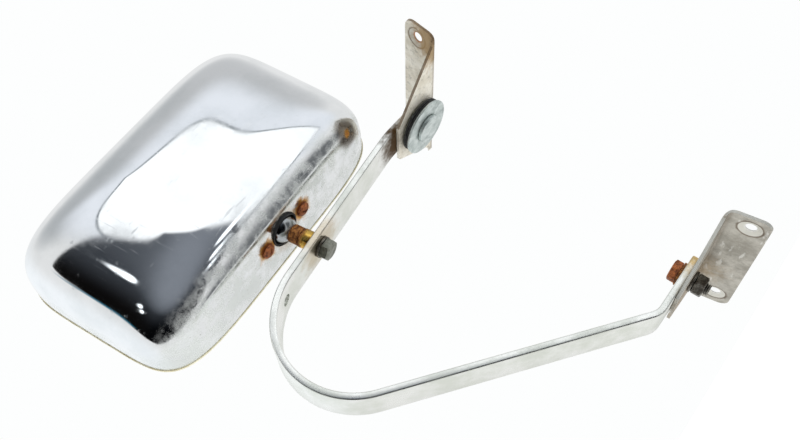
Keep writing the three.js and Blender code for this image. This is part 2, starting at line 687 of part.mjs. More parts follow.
// Inside the land: seal ring, clamp plate, cup over the ball, spring and bridge, two screws.
function addSocket() {
  const landInside = -BALL_DEPTH + SHELL_WALL;
  const plateZ = landInside + LAND_SLOPE * CLAMP_WIDTH / 2 + GAP;
  const plateTop = plateZ + CLAMP_SHEET;
  const ballRadius = BALL_DIAMETER / 2;
  const cupInner = ballRadius + GAP;
  const cupOuter = cupInner + CUP_WALL;
  const cupHole = cupOuter + GAP;

  const sealInner = ballRadius + 2 * GAP;
  const sealOuter = OPENING_DIAMETER / 2 - GAP;
  const seal = ring(2 * sealOuter, 2 * sealInner, -BALL_DEPTH - SEAL_HEIGHT / 2, plateZ - GAP);
  addMesh(headGroup, 'ball_seal', seal, BLACK_RUBBER);

  // The cup's rim is high enough for the seal ring to rock under it.
  const cup = [];
  const steps = 8;
  const rimZ = plateZ + sealOuter * Math.sin(HEAD_ROLL * DEG);
  const lowest = Math.acos(rimZ / cupOuter);
  for (const [radius, from, to] of [[cupInner, 0, lowest], [cupOuter, lowest, 0]]) {
    for (let k = 0; k <= steps; k += 1) {
      const angle = from + ((to - from) * k) / steps;
      cup.push([k % steps || angle ? radius * Math.sin(angle) : 0, radius * Math.cos(angle)]);
    }
  }
  addMesh(headGroup, 'socket_cup', lathe(cup), GREY_STEEL);

  const halfLength = CLAMP_LENGTH / 2;
  const halfClamp = CLAMP_WIDTH / 2;
  const platePlan = roundCorners([
    [-halfLength, -halfClamp, 4],
    [halfLength, -halfClamp, 4],
    [halfLength, halfClamp, 4],
    [-halfLength, halfClamp, 4],
  ], 3);
  const screwHole = SCREW_DIAMETER + 2 * HOLE_GAP;
  let plate = solid(prism(platePlan, plateZ, plateTop))
    .subtract(solid(rod(2 * cupHole, plateZ - 1, plateTop + 1)));

  const springZ = cupOuter + GAP;
  const springTop = springZ + 1.2;
  const bridgeZ = springTop + GAP;
  const footZ = plateTop + GAP;
  const halfBridge = cupHole + CLAMP_SHEET;
  const hat = [
    [-halfLength, footZ],
    [-halfBridge + CLAMP_SHEET, footZ],
    [-halfBridge + CLAMP_SHEET, bridgeZ],
    [halfBridge - CLAMP_SHEET, bridgeZ],
    [halfBridge - CLAMP_SHEET, footZ],
    [halfLength, footZ],
    [halfLength, footZ + CLAMP_SHEET],
    [halfBridge, footZ + CLAMP_SHEET],
    [halfBridge, bridgeZ + CLAMP_SHEET],
    [-halfBridge, bridgeZ + CLAMP_SHEET],
    [-halfBridge, footZ + CLAMP_SHEET],
    [-halfLength, footZ + CLAMP_SHEET],
  ];
  let bridge = solid(prismAlongY(hat, -halfClamp / 2, halfClamp / 2));
  const nutZ = footZ + CLAMP_SHEET + GAP;
  const nutTop = nutZ + SCREW_NUT_HEIGHT;
  for (const [name, x] of [['inboard', -SCREW_SPACING / 2], ['outboard', SCREW_SPACING / 2]]) {
    plate = plate.subtract(solid(rod(screwHole, plateZ - 1, plateTop + 1, 16).translate(x, 0, 0)));
    bridge = bridge.subtract(solid(rod(screwHole, plateZ - 1, nutZ, 16).translate(x, 0, 0)));
    const headTop = -BALL_DEPTH - LAND_SLOPE * SCREW_HEAD_DIAMETER / 2 - GAP;
    const crown = SCREW_HEAD_DIAMETER / 2;
    const screw = lathe([
      [0, headTop - SCREW_HEAD_HEIGHT],
      [crown * 0.55, headTop - SCREW_HEAD_HEIGHT],
      [crown * 0.85, headTop - SCREW_HEAD_HEIGHT * 0.7],
      [crown, headTop - SCREW_HEAD_HEIGHT * 0.2],
      [crown, headTop],
      [SCREW_DIAMETER / 2, headTop],
      [SCREW_DIAMETER / 2, nutTop + 1],
      [0, nutTop + 1],
    ], 20);
    const nut = solid(hexPrism(SCREW_NUT_ACROSS_FLATS, nutZ, nutTop))
      .subtract(solid(rod(screwHole, nutZ - 1, nutTop + 1, 16)));
    addMesh(headGroup, `socket_screw_${name}`, screw.translate(x, 0, 0), RUSTY);
    addMesh(headGroup, `socket_nut_${name}`, toGeometry(nut).translate(x, 0, 0), GREY_STEEL);
  }
  addMesh(headGroup, 'clamp_plate', toGeometry(plate), GREY_STEEL);
  addMesh(headGroup, 'clamp_bridge', toGeometry(bridge), GREY_STEEL);
  const spring = ring(14, 6, springZ, springTop, 20);
  addMesh(headGroup, 'clamp_spring', spring, GREY_STEEL);
}

// ---- Assembly ----
addLowerHinge();
addMesh(armGroup, 'arm_strip', armStrip(), PLATED_BAR);
addUpperPivot();
addStud();
addHead();

const lean = DOOR_LEAN * DEG;
const mountRise = HOLE_FROM_FLANGE / Math.cos(lean);
const mountX = -DOOR_DISTANCE - mountRise * Math.sin(lean);
const mountY = (HOLE_FRONT + HOLE_BACK) / 2;
const mountZ = LOWER_FLANGE_Z + SHEET / 2 - mountRise * Math.cos(lean);

headGroup.position.set(0, 0, BAR_THICK / 2 + STUD_LENGTH + BALL_DEPTH);
headGroup.rotation.y = (HEAD_TILT - TOP_SLOPE) * DEG;
studGroup.position.set(STUD_STATION.x, 0, STUD_STATION.z);
studGroup.rotation.y = STUD_STATION.heading;
studGroup.add(headGroup);
upperGroup.rotation.z = UPPER_BRACKET_TURN * DEG;
armGroup.add(upperGroup, studGroup);
armGroup.rotation.z = ARM_TURN * DEG;
const pivotGroup = new THREE.Group();
pivotGroup.position.set(-mountX, -mountY, -mountZ);
pivotGroup.add(fixedGroup, armGroup);
group.add(pivotGroup);

export default group;
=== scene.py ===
# %% [markdown]
# # An old swing-away door mirror
# A chromed head on a ball stud, a looped flat-bar arm and two folded door brackets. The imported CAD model
# gives every place and every joint, so this file only remodels what the eye sees and gives it its finish.
# %% Load the frame
import json
import math

import bmesh
import bpy
from mathutils import Matrix, Vector


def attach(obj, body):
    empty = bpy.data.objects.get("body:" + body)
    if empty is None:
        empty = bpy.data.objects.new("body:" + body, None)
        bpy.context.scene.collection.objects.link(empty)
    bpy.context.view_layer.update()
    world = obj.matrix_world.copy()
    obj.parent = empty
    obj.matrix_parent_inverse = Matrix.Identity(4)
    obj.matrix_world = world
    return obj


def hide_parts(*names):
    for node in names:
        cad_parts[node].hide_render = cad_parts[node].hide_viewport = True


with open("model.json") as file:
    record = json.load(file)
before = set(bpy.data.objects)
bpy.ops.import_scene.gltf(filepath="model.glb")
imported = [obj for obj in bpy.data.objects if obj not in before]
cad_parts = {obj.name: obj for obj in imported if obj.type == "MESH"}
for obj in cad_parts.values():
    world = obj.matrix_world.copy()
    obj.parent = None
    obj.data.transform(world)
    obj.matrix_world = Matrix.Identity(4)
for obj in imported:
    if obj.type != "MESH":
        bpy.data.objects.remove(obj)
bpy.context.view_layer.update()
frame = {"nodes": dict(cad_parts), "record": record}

MM = 0.001

# %% [markdown]
# ## Where things are
# Each piece is built round its own natural axis: a bracket or the bar round the swing axis, the stud and the
# head round the ball. The joints of the frame give those axes, so a matrix per part puts its piece in place.
# A piece then has its own local coordinates, and a stain or a scratch stays where it was made as it moves.
# %% Local frames from the joints
record = frame["record"]


def local_frame(origin, x_axis, z_axis):
    """A 4x4 with its X along x_axis, Z as near z_axis as it can be, at origin."""
    x = Vector(x_axis).normalized()
    y = Vector(z_axis).cross(x).normalized()
    z = x.cross(y)
    place = Matrix((x, y, z)).transposed().to_4x4()
    place.translation = Vector(origin)
    return place


declared = {joint["name"]: joint for joint in record["behaviour"]["joints"]}
PIVOT = Vector(declared["arm_swing"]["pos_m"])
BALL = Vector(declared["head_tilt"]["pos_m"])
long_axis = Vector(declared["head_tilt"]["axis"])
across_axis = Vector(declared["head_roll"]["axis"])
UP = Vector((0, 0, 1))
upper_mount = next(m for m in record["mounts"] if m["name"] == "door_face_upper")
upper_door = Vector(upper_mount["axis"])

LOWER = local_frame(PIVOT, (1, 0, 0), UP)
BAR = local_frame(PIVOT, across_axis.cross(UP), UP)
UPPER = local_frame(PIVOT, (-upper_door.x, -upper_door.y, 0), UP)
HEAD = local_frame(BALL, long_axis, long_axis.cross(across_axis))
stud_axis = Vector(declared["head_turn"]["axis"])
STUD = local_frame(BALL, across_axis.cross(stud_axis), stud_axis)
print("pivot", PIVOT, "ball", BALL)

# %% [markdown]
# ## Camera, floor and light
# Chrome shows its surroundings more than itself, so the surroundings are part of the finish. The studio is
# pale all round, with one crisp white panel and, on the side that the chrome back faces, a dark room. It is
# made in the world, by direction, so that the reflections stay the same from every side. The floor is left
# out of reflections, because it would hide the lower half of that studio.
# %% Colours and nodes
def colour(code):
    """An sRGB hex colour as linear RGBA."""
    channels = [int(code[i:i + 2], 16) / 255 for i in (1, 3, 5)]
    linear = [c / 12.92 if c <= 0.04045 else ((c + 0.055) / 1.055) ** 2.4 for c in channels]
    return (*linear, 1.0)


def add_node(tree, kind, settings=None, inputs=None):
    """Adds a node; inputs maps a socket's name or number to a value or to another node's output."""
    node = tree.nodes.new(kind)
    for name, value in (settings or {}).items():
        setattr(node, name, value)
    for name, value in (inputs or {}).items():
        if isinstance(value, bpy.types.NodeSocket):
            tree.links.new(value, node.inputs[name])
        else:
            node.inputs[name].default_value = value
    return node


def heading(azimuth, elevation):
    """The direction at a compass azimuth, counter-clockwise from +X, and an elevation, in degrees."""
    a, e = math.radians(azimuth), math.radians(elevation)
    return Vector((math.cos(e) * math.cos(a), math.cos(e) * math.sin(a), math.sin(e)))


# %% The studio, painted by direction
world = bpy.data.worlds.new("studio")
world.use_nodes = True
studio = world.node_tree
studio.nodes.clear()
view = add_node(studio, "ShaderNodeTexCoord").outputs["Generated"]
toward = add_node(studio, "ShaderNodeVectorMath", {"operation": "NORMALIZE"}, {0: view}).outputs[0]


def facing(direction, low, high):
    """0 to 1 as the view turns from a cosine of low to a cosine of high with a direction."""
    dot = add_node(studio, "ShaderNodeVectorMath", {"operation": "DOT_PRODUCT"}, {0: toward, 1: direction})
    ramp = add_node(studio, "ShaderNodeMapRange", {"interpolation_type": "SMOOTHSTEP"},
                    {"Value": dot.outputs["Value"], "From Min": low, "From Max": high})
    return ramp.outputs["Result"]


def times(a, b):
    return add_node(studio, "ShaderNodeMath", {"operation": "MULTIPLY"}, {0: a, 1: b}).outputs[0]


def card(corners, softness):
    """1 inside a flat-sided patch of the studio given by its corners' headings, 0 outside."""
    points = [heading(*corner) for corner in corners]
    middle = sum(points, Vector()).normalized()
    mask = None
    for here, there in zip(points, points[1:] + points[:1]):
        edge = here.cross(there).normalized()
        if edge.dot(middle) < 0:
            edge.negate()
        side = facing(edge, -softness, softness)
        mask = side if mask is None else times(mask, side)
    return mask


def paint(under, mask, tint):
    mix = add_node(studio, "ShaderNodeMix", {"data_type": "RGBA"}, {"Factor": mask, 6: under, 7: tint})
    return mix.outputs[2]


def bright(code, strength):
    """A colour brighter than white paper."""
    return tuple(channel * strength for channel in colour(code)[:3]) + (1.0,)


sky = paint(colour("#f1f2f2"), facing(heading(115, 62), 0.80, 1.0), bright("#b9bdc0", 1.0))
sky = paint(sky, facing(heading(152, 44), 0.84, 1.0), bright("#ccced0", 1.0))
sky = paint(sky, facing(heading(-30, 25), 0.5, 1.0), bright("#f4f8fb", 1.15))
sky = paint(sky, card([(-100, -20), (-100, -75), (-20, -75), (-20, -20)], 0.15), bright("#f2f4f3", 1.05))
sky = paint(sky, card([(125, -25), (165, -25), (170, -75), (110, -75)], 0.12), colour("#6f7274"))
# The glow over the panel, the thin dark frame of the panel, then the panel.
sky = paint(sky, card([(101, 62), (140, 46), (160, 2), (128, -20), (82, 36)], 0.16), bright("#f3f8ff", 1.0))
frame_line = card([(116.2, 49.8), (127.9, 34.2), (138.9, -1.8), (120, -17), (89, 31)], 0.004)
sky = paint(sky, frame_line, colour("#7d858b"))
panel = card([(116, 49), (127.3, 33.5), (138, -2), (119, -16), (90, 31)], 0.004)
sky = paint(sky, panel, bright("#fafdff", 1.3))
dark_corners = [(103, 29.5), (44, 34.5), (30, 17), (4, -16), (8, -42), (70, -68), (109, -52), (119, -17),
                (113, 10)]
dark = card(dark_corners, 0.008)
room = paint(colour("#3d4147"), facing(heading(20, -22), 0.35, 0.9), colour("#050608"))
room = paint(room, facing(heading(40, 28), 0.80, 0.99), colour("#0d0c0c"))
room = paint(room, facing(heading(98, 6), 0.86, 1.0), colour("#868c95"))
room = paint(room, facing(heading(90, -50), 0.86, 1.0), colour("#0b0c10"))
sky = paint(sky, dark, room)
sky = paint(sky, card([(42, 33), (40, 26), (31, 13), (31, 18)], 0.02), colour("#2c6f86"))
# Small lamps in the dark room.
LAMPS = [(80, 29, 0.99985), (66, 20, 0.9998), (62, 17, 0.9998), (116, -8, 0.9998), (114.5, -14, 0.9998),
         (113.5, -20, 0.9999)]
for azimuth, elevation, width in LAMPS:
    sky = paint(sky, facing(heading(azimuth, elevation), width - 0.0006, width), bright("#f4faff", 2.0))
seen = add_node(studio, "ShaderNodeLightPath").outputs["Is Camera Ray"]
sky = paint(sky, seen, bright("#fdfefe", 1.0))
background = add_node(studio, "ShaderNodeBackground", None, {"Color": sky, "Strength": 1.0})
add_node(studio, "ShaderNodeOutputWorld", None, {"Surface": background.outputs[0]})
bpy.context.scene.world = world
bpy.context.scene.view_settings.view_transform = "Standard"
print("studio nodes:", len(studio.nodes))

# %% Floor, key light and camera
FLOOR_DROP = 0.25
floor_mesh = bpy.data.meshes.new("floor")
reach = 6.0
corners = [(-reach, -reach, -FLOOR_DROP), (reach, -reach, -FLOOR_DROP), (reach, reach, -FLOOR_DROP),
           (-reach, reach, -FLOOR_DROP)]
floor_mesh.from_pydata(corners, [], [(0, 1, 2, 3)])
floor = bpy.data.objects.new("floor", floor_mesh)
bpy.context.collection.objects.link(floor)
floor.visible_glossy = False
pale = bpy.data.materials.new("pale_floor")
pale.use_nodes = True
pale_shader = pale.node_tree.nodes["Principled BSDF"]
pale_shader.inputs["Base Color"].default_value = colour("#f4f4f3")
pale_shader.inputs["Roughness"].default_value = 0.9
# A little light of its own keeps the floor as pale as the walls, so no horizon shows.
pale_shader.inputs["Emission Color"].default_value = colour("#ffffff")
pale_shader.inputs["Emission Strength"].default_value = 0.35
floor_mesh.materials.append(pale)


LIGHT_TARGET = Vector((0.12, 0, 0.17))


def area_light(name, direction, distance, size, power):
    lamp = bpy.data.lights.new(name, "AREA")
    lamp.size = size
    lamp.energy = power
    obj = bpy.data.objects.new(name, lamp)
    obj.location = LIGHT_TARGET + direction * distance
    obj.rotation_euler = (-direction).to_track_quat("-Z", "Y").to_euler()
    obj.visible_glossy = False
    bpy.context.collection.objects.link(obj)


area_light("soft_key", heading(110, 35), 1.6, 1.0, 12)
area_light("soft_fill", heading(20, 15), 1.8, 1.2, 5)

camera_data = bpy.data.cameras.new("camera")
camera = bpy.data.objects.new("camera", camera_data)
bpy.context.collection.objects.link(camera)
camera_data.lens = 39.83
camera_data.sensor_width = 36
camera_data.shift_x = -0.0645
camera_data.shift_y = 0.0084
camera_aim = Vector((-0.4402, -0.8491, 0.2921))
camera_up = Vector((-0.6864, 0.5279, 0.5001))
camera_right = camera_aim.cross(camera_up).normalized()
camera_turn = Matrix((camera_right, camera_right.cross(camera_aim), -camera_aim)).transposed().to_4x4()
camera.matrix_world = BAR @ Matrix.Translation(Vector((307.07, 484.33, -26.94)) * MM) @ camera_turn
bpy.context.scene.camera = camera
print("camera at", camera.matrix_world.translation)


# %% [markdown]
# ## Tools of the mesh shop
# Turned pieces are a profile spun round an axis, hex heads are a prism trimmed by a turned cone, and the bar
# is one section swept along its bends. A boolean drills holes, and its result is kept as plain mesh.
# %% Mesh helpers
def make_object(name, vertices, faces, place):
    mesh = bpy.data.meshes.new(name)
    mesh.from_pydata([tuple(Vector(v) * MM) for v in vertices], [], faces)
    mesh.update()
    obj = bpy.data.objects.new(name, mesh)
    bpy.context.collection.objects.link(obj)
    obj.matrix_world = place
    return obj


def smooth(obj, angle=35):
    """Smooth shading, with the edges sharper than the angle kept crisp."""
    mesh = obj.data
    mesh.polygons.foreach_set("use_smooth", [True] * len(mesh.polygons))
    mesh.set_sharp_from_angle(angle=math.radians(angle))
    return obj


def face_outward(obj):
    shape = bmesh.new()
    shape.from_mesh(obj.data)
    bmesh.ops.remove_doubles(shape, verts=shape.verts, dist=1e-7)
    bmesh.ops.recalc_face_normals(shape, faces=shape.faces)
    shape.to_mesh(obj.data)
    shape.free()
    return obj


def rounded(profile, radius, steps=4):
    """Rounds the corners of an [r, z] profile that aren't on the axis."""
    points = []
    for i, (r, z) in enumerate(profile):
        before, after = profile[i - 1], profile[(i + 1) % len(profile)]
        if r < 1e-6 or i in (0, len(profile) - 1) and profile[0][0] < 1e-6:
            points.append((r, z))
            continue
        here = Vector((r, z))
        back, on = Vector(before) - here, Vector(after) - here
        cut = min(radius, 0.4 * back.length, 0.4 * on.length)
        start, end = here + back.normalized() * cut, here + on.normalized() * cut
        for k in range(steps + 1):
            t = k / steps
            points.append(tuple((1 - t) ** 2 * start + 2 * t * (1 - t) * here + t * t * end))
    return points


def turned(name, profile, place, segments=72):
    """Spins an [r, z] profile round Z; it starts and ends on the axis, or closes on itself."""
    closed = profile[0][0] > 1e-6
    vertices = []
    for r, z in profile:
        for k in range(segments):
            angle = 2 * math.pi * k / segments
            vertices.append((r * math.cos(angle), r * math.sin(angle), z))
    faces = []
    rows = len(profile)
    for i in range(rows if closed else rows - 1):
        j = (i + 1) % rows
        for k in range(segments):
            m = (k + 1) % segments
            faces.append((i * segments + k, i * segments + m, j * segments + m, j * segments + k))
    return face_outward(make_object(name, vertices, faces, place))


def join_by(obj, cutter, operation):
    """Cuts, joins or trims obj with cutter, keeps the result as mesh and deletes the cutter."""
    step = obj.modifiers.new("trim", "BOOLEAN")
    step.object = cutter
    step.operation = operation
    step.solver = "EXACT"
    bpy.context.view_layer.update()
    evaluated = obj.evaluated_get(bpy.context.evaluated_depsgraph_get())
    result = bpy.data.meshes.new_from_object(evaluated)
    obj.modifiers.clear()
    obj.data = result
    bpy.data.objects.remove(cutter)
    return obj


def drilled(obj, diameter, at, place, length=40, tilt=None):
    """Drills a hole along the Z of place, at a point in it."""
    hole = Matrix.Translation(Vector(at) * MM)
    tool = turned("drill", [(0, -length / 2), (diameter / 2, -length / 2), (diameter / 2, length / 2),
                            (0, length / 2)], place @ hole @ (tilt or Matrix()), 48)
    return join_by(obj, tool, "DIFFERENCE")


def hexagon(name, across_flats, z0, z1, place, top_chamfer=True, bottom_chamfer=False):
    """A hex head or nut with its corners turned off at one end or both."""
    corner = across_flats / 2 / math.cos(math.radians(30))
    turns = [math.radians(60 * k) for k in range(6)]
    ring = [(corner * math.cos(turn), corner * math.sin(turn)) for turn in turns]
    vertices = [(x, y, z0) for x, y in ring] + [(x, y, z1) for x, y in ring]
    faces = [tuple(range(5, -1, -1)), tuple(range(6, 12))]
    faces += [(k, (k + 1) % 6, 6 + (k + 1) % 6, 6 + k) for k in range(6)]
    prism = make_object(name, vertices, faces, place)
    flat = across_flats / 2 * 0.93
    fall = (corner - flat) * 0.55
    low = [(flat, z0), (corner + 0.05, z0 + fall)] if bottom_chamfer else [(corner + 0.05, z0)]
    high = [(corner + 0.05, z1 - fall), (flat, z1)] if top_chamfer else [(corner + 0.05, z1)]
    cone = turned("cone", [(0, z0), *low, *high, (0, z1)], place, 96)
    return join_by(prism, cone, "INTERSECT")


def soften(obj, width, segments=2, angle=40):
    """A small rounding on every sharp edge, as tumbling, plating and wear leave."""
    bevel = obj.modifiers.new("rounding", "BEVEL")
    bevel.width = width * MM
    bevel.segments = segments
    bevel.limit_method = "ANGLE"
    bevel.angle_limit = math.radians(angle)
    bevel.harden_normals = False
    return obj


def finish(obj, material, body, node):
    obj.data.materials.clear()
    obj.data.materials.append(material)
    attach(obj, body)
    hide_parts(node)
    print(f"{obj.name}: {len(obj.data.polygons)} faces")
    return obj


# %% [markdown]
# ## Finishes
# Every metal here has been outdoors for decades, so each finish is a clean metal plus what time did to it:
# haze, fine scratches, stains and rust. A pattern's scale is set from its real size in millimetres.
# %% A material's common start
def new_material(name, roughness, metallic):
    """A material with its tree, its shader and its local coordinates in metres."""
    material = bpy.data.materials.new(name)
    material.use_nodes = True
    tree = material.node_tree
    shader = tree.nodes["Principled BSDF"]
    shader.inputs["Roughness"].default_value = roughness
    shader.inputs["Metallic"].default_value = metallic
    place = add_node(tree, "ShaderNodeTexCoord").outputs["Object"]
    return material, tree, shader, place


def grain(tree, place, size_mm, detail=4, roughness=0.6, stretch=(1, 1, 1)):
    """Cloudy noise whose blotches are about size_mm across; stretch below 1 draws them out."""
    scaled = add_node(tree, "ShaderNodeVectorMath", {"operation": "MULTIPLY"}, {0: place, 1: stretch})
    noise = add_node(tree, "ShaderNodeTexNoise", None, {
        "Vector": scaled.outputs[0], "Scale": 1 / (size_mm * MM), "Detail": detail, "Roughness": roughness})
    return noise.outputs["Fac"]


def ramp(tree, value, low, high, to_low=0.0, to_high=1.0):
    """Stretches a value between two levels to another range, smoothly."""
    node = add_node(tree, "ShaderNodeMapRange", {"interpolation_type": "SMOOTHSTEP"}, {
        "Value": value, "From Min": low, "From Max": high, "To Min": to_low, "To Max": to_high})
    return node.outputs["Result"]


def calc(tree, operation, a, b):
    return add_node(tree, "ShaderNodeMath", {"operation": operation, "use_clamp": operation != "DISTANCE"},
                    {0: a, 1: b}).outputs[0]


def blend(tree, mask, under, over):
    mix = add_node(tree, "ShaderNodeMix", {"data_type": "RGBA"}, {"Factor": mask, 6: under, 7: over})
    return mix.outputs[2]


def near(tree, place, point_mm, inner_mm, outer_mm, wobble=None):
    """1 within inner_mm of a point, fading to 0 at outer_mm; a noise as wobble makes the edge ragged."""
    distance = add_node(tree, "ShaderNodeVectorMath", {"operation": "DISTANCE"},
                        {0: place, 1: Vector(point_mm) * MM}).outputs["Value"]
    if wobble is not None:
        spread = add_node(tree, "ShaderNodeMath", {"operation": "MULTIPLY_ADD"},
                          {0: wobble, 1: (outer_mm - inner_mm) * 1.6 * MM, 2: distance})
        distance = add_node(tree, "ShaderNodeMath", {"operation": "SUBTRACT"},
                            {0: spread.outputs[0], 1: (outer_mm - inner_mm) * 0.8 * MM}).outputs[0]
    return ramp(tree, distance, inner_mm * MM, outer_mm * MM, 1.0, 0.0)


def relief(tree, shader, height, depth_mm, strength=1.0):
    bump = add_node(tree, "ShaderNodeBump", None,
                    {"Height": height, "Distance": depth_mm * MM, "Strength": strength})
    tree.links.new(bump.outputs["Normal"], shader.inputs["Normal"])


def connect(tree, shader, **sockets):
    for name, output in sockets.items():
        tree.links.new(output, shader.inputs[name.replace("_", " ")])


def axis_value(tree, place, axis):
    return add_node(tree, "ShaderNodeSeparateXYZ", None, {0: place}).outputs[axis]


# %% [markdown]
# ### Bright chromium plate
# Thin chromium over nickel over drawn steel: a hard mirror that goes hazy and scratched, and rusts from each
# edge and hole where the plate was cut. It is pure metal, nearly smooth, with the haze in its roughness.
# %% Chrome for the head
SCREW_REACH = 18.5
LAND_DEPTH = 3.0
PIT_PLACE = (-78.0, 12.0, -1.0)


def bright_chrome_plate():
    material, tree, shader, place = new_material("bright_chromium_plate", 0.06, 1.0)
    haze = grain(tree, place, 34, 5, 0.62)
    scratches = grain(tree, place, 1.4, 2, 0.5, (0.06, 1, 0.5))
    cross = grain(tree, place, 1.1, 2, 0.5, (1, 1, 0.05))
    pitting = grain(tree, place, 2.4, 6, 0.75)
    fine = calc(tree, "MULTIPLY", ramp(tree, scratches, 0.62, 0.72), ramp(tree, haze, 0.4, 0.6))
    fine = calc(tree, "ADD", fine, calc(tree, "MULTIPLY", ramp(tree, cross, 0.66, 0.74), 0.6))
    # The lower wall, under the land, is the weathered side: milky, pitted plate.
    height = axis_value(tree, place, "Z")
    depth = axis_value(tree, place, "Y")
    low = ramp(tree, height, 0.004, 0.014, 1.0, 0.0)
    rim = ramp(tree, depth, -0.002, -0.012)
    milky = calc(tree, "MULTIPLY", low, ramp(tree, grain(tree, place, 9, 6, 0.7), 0.38, 0.62))
    milky = calc(tree, "ADD", milky, calc(tree, "MULTIPLY", rim, ramp(tree, haze, 0.42, 0.62, 0.1, 0.7)))
    ragged = grain(tree, place, 5, 2, 0.5)
    halo = None
    core = None
    for x in (-SCREW_REACH, SCREW_REACH):
        spot = (x, 0, -LAND_DEPTH)
        wide = near(tree, place, spot, 5.0, 10.5, ragged)
        tight = near(tree, place, spot, 4.6, 6.4, ragged)
        halo = wide if halo is None else calc(tree, "MAXIMUM", halo, wide)
        core = tight if core is None else calc(tree, "MAXIMUM", core, tight)
    halo = calc(tree, "MAXIMUM", halo, near(tree, place, PIT_PLACE, 1.5, 4.5, ragged))
    core = calc(tree, "MAXIMUM", core, near(tree, place, PIT_PLACE, 0.8, 2.4, ragged))
    # The inboard end of the land has a painted dark reflection round its pit.
    tarnish_and_painted_reflection = calc(tree, "MULTIPLY", near(tree, place, PIT_PLACE, 7, 13), 0.75)
    around = near(tree, place, (0, 0, -LAND_DEPTH), 11, 19, ragged)
    around = calc(tree, "MULTIPLY", around, 0.4)
    base = blend(tree, ramp(tree, haze, 0.35, 0.7), colour("#eeeff0"), colour("#e3e5e6"))
    base = blend(tree, calc(tree, "MULTIPLY", milky, 0.55), base, colour("#d7dbd6"))
    base = blend(tree, calc(tree, "MULTIPLY", low, ramp(tree, pitting, 0.62, 0.72)), base, colour("#8f8f84"))
    base = blend(tree, around, base, colour("#a88a5c"))
    # Painted dark reflection, dark brown, round the pit at the inboard end of the land.
    base = blend(tree, tarnish_and_painted_reflection, base, colour("#5f5145"))
    base = blend(tree, halo, base, colour("#d39a45"))
    base = blend(tree, core, base, colour("#8a4a1c"))
    rough = calc(tree, "ADD", ramp(tree, haze, 0.4, 0.75, 0.035, 0.12), calc(tree, "MULTIPLY", fine, 0.16))
    rough = calc(tree, "ADD", rough, calc(tree, "MULTIPLY", milky, 0.24))
    rough = calc(tree, "ADD", rough, calc(tree, "MULTIPLY", halo, 0.45))
    metal = calc(tree, "SUBTRACT", 1.0, calc(tree, "MULTIPLY", core, 0.8))
    metal = calc(tree, "SUBTRACT", metal, calc(tree, "MULTIPLY", milky, 0.25))
    connect(tree, shader, Base_Color=base, Roughness=rough, Metallic=metal)
    bumps = calc(tree, "ADD", calc(tree, "MULTIPLY", halo, ragged), calc(tree, "MULTIPLY", low, pitting))
    relief(tree, shader, bumps, 0.12, 0.35)
    return material


chrome = bright_chrome_plate()


# %% [markdown]
# ### Worn plate on the bar
# Flat bar stock that was polished less and plated thinner than the head: a dull silver with a faint green
# cast, gone gold and brown where water sat at the two ends, under the stud bolt and beside the sleeve.
# The brown by the upper tip is partly rust stain and partly painted shadow under the bracket's flange.
# %% Plated flat bar
PIVOT_HEIGHT = 212.3


def worn_bar_plate():
    material, tree, shader, place = new_material("worn_plate_on_flat_bar", 0.3, 1.0)
    blotch = grain(tree, place, 22, 5, 0.65)
    speck = grain(tree, place, 1.6, 5, 0.7)
    drawn = grain(tree, place, 1.2, 3, 0.5, (1, 0.06, 1))
    ragged = grain(tree, place, 7, 5, 0.7)
    top = PIVOT_HEIGHT
    tip_gold = near(tree, place, (-10, 0, top), 14, 34, ragged)
    # Brown by the upper tip, where the bracket's flange reaches over the bar: partly rust stain, partly
    # painted shadow.
    tip_stain_and_painted_shadow = near(tree, place, (22, 0, top - 4), 7, 24, ragged)
    tab_gold = near(tree, place, (-12, 0, 0), 10, 26, ragged)
    stud_tan = near(tree, place, (117, 4, 198), 9, 24, ragged)
    stud_tan = calc(tree, "MULTIPLY", stud_tan, 0.55)
    base = blend(tree, ramp(tree, blotch, 0.35, 0.65), colour("#f3f3ef"), colour("#e6e8e0"))
    base = blend(tree, calc(tree, "MULTIPLY", ramp(tree, speck, 0.6, 0.72), 0.25), base, colour("#b5b7ae"))
    base = blend(tree, stud_tan, base, colour("#b99f70"))
    base = blend(tree, tip_gold, base, colour("#c29a4c"))
    base = blend(tree, tab_gold, base, colour("#c5a564"))
    # Painted shadow under the flange, with rust stain, in brown at the upper tip.
    base = blend(tree, tip_stain_and_painted_shadow, base, colour("#5c4427"))
    rough = calc(tree, "ADD", ramp(tree, blotch, 0.3, 0.7, 0.2, 0.36), calc(tree, "MULTIPLY", drawn, 0.12))
    rough = calc(tree, "ADD", rough, calc(tree, "MULTIPLY", tip_stain_and_painted_shadow, 0.3))
    connect(tree, shader, Base_Color=base, Roughness=rough)
    relief(tree, shader, calc(tree, "ADD", drawn, speck), 0.05, 0.3)
    return material


bar_plate = worn_bar_plate()


# %% [markdown]
# ### Dull plated sheet
# The brackets are sheet steel with a dull zinc plate, scuffed by tools and screws. Brown creeps in from the
# cut edges, the fold and the rings of the countersinks, and the upper one has a yellow stain at one end.
# %% Bracket sheet
LEAN = math.radians(9.2)
HOLE_ALONG = (55.4, -37.7)
HOLE_DEPTH = 16.2
FLANGE_MID = 3.68
FOLD_AT = -18.0


def hole_place(y, upward):
    """A screw hole's centre in a bracket's own frame, in millimetres."""
    along = HOLE_DEPTH / math.cos(LEAN)
    x = -19 - along * math.sin(LEAN) + math.cos(LEAN)
    z = PIVOT_HEIGHT - FLANGE_MID - 1 + HOLE_DEPTH if upward else -FLANGE_MID + 1 - HOLE_DEPTH
    return (x, y, z)


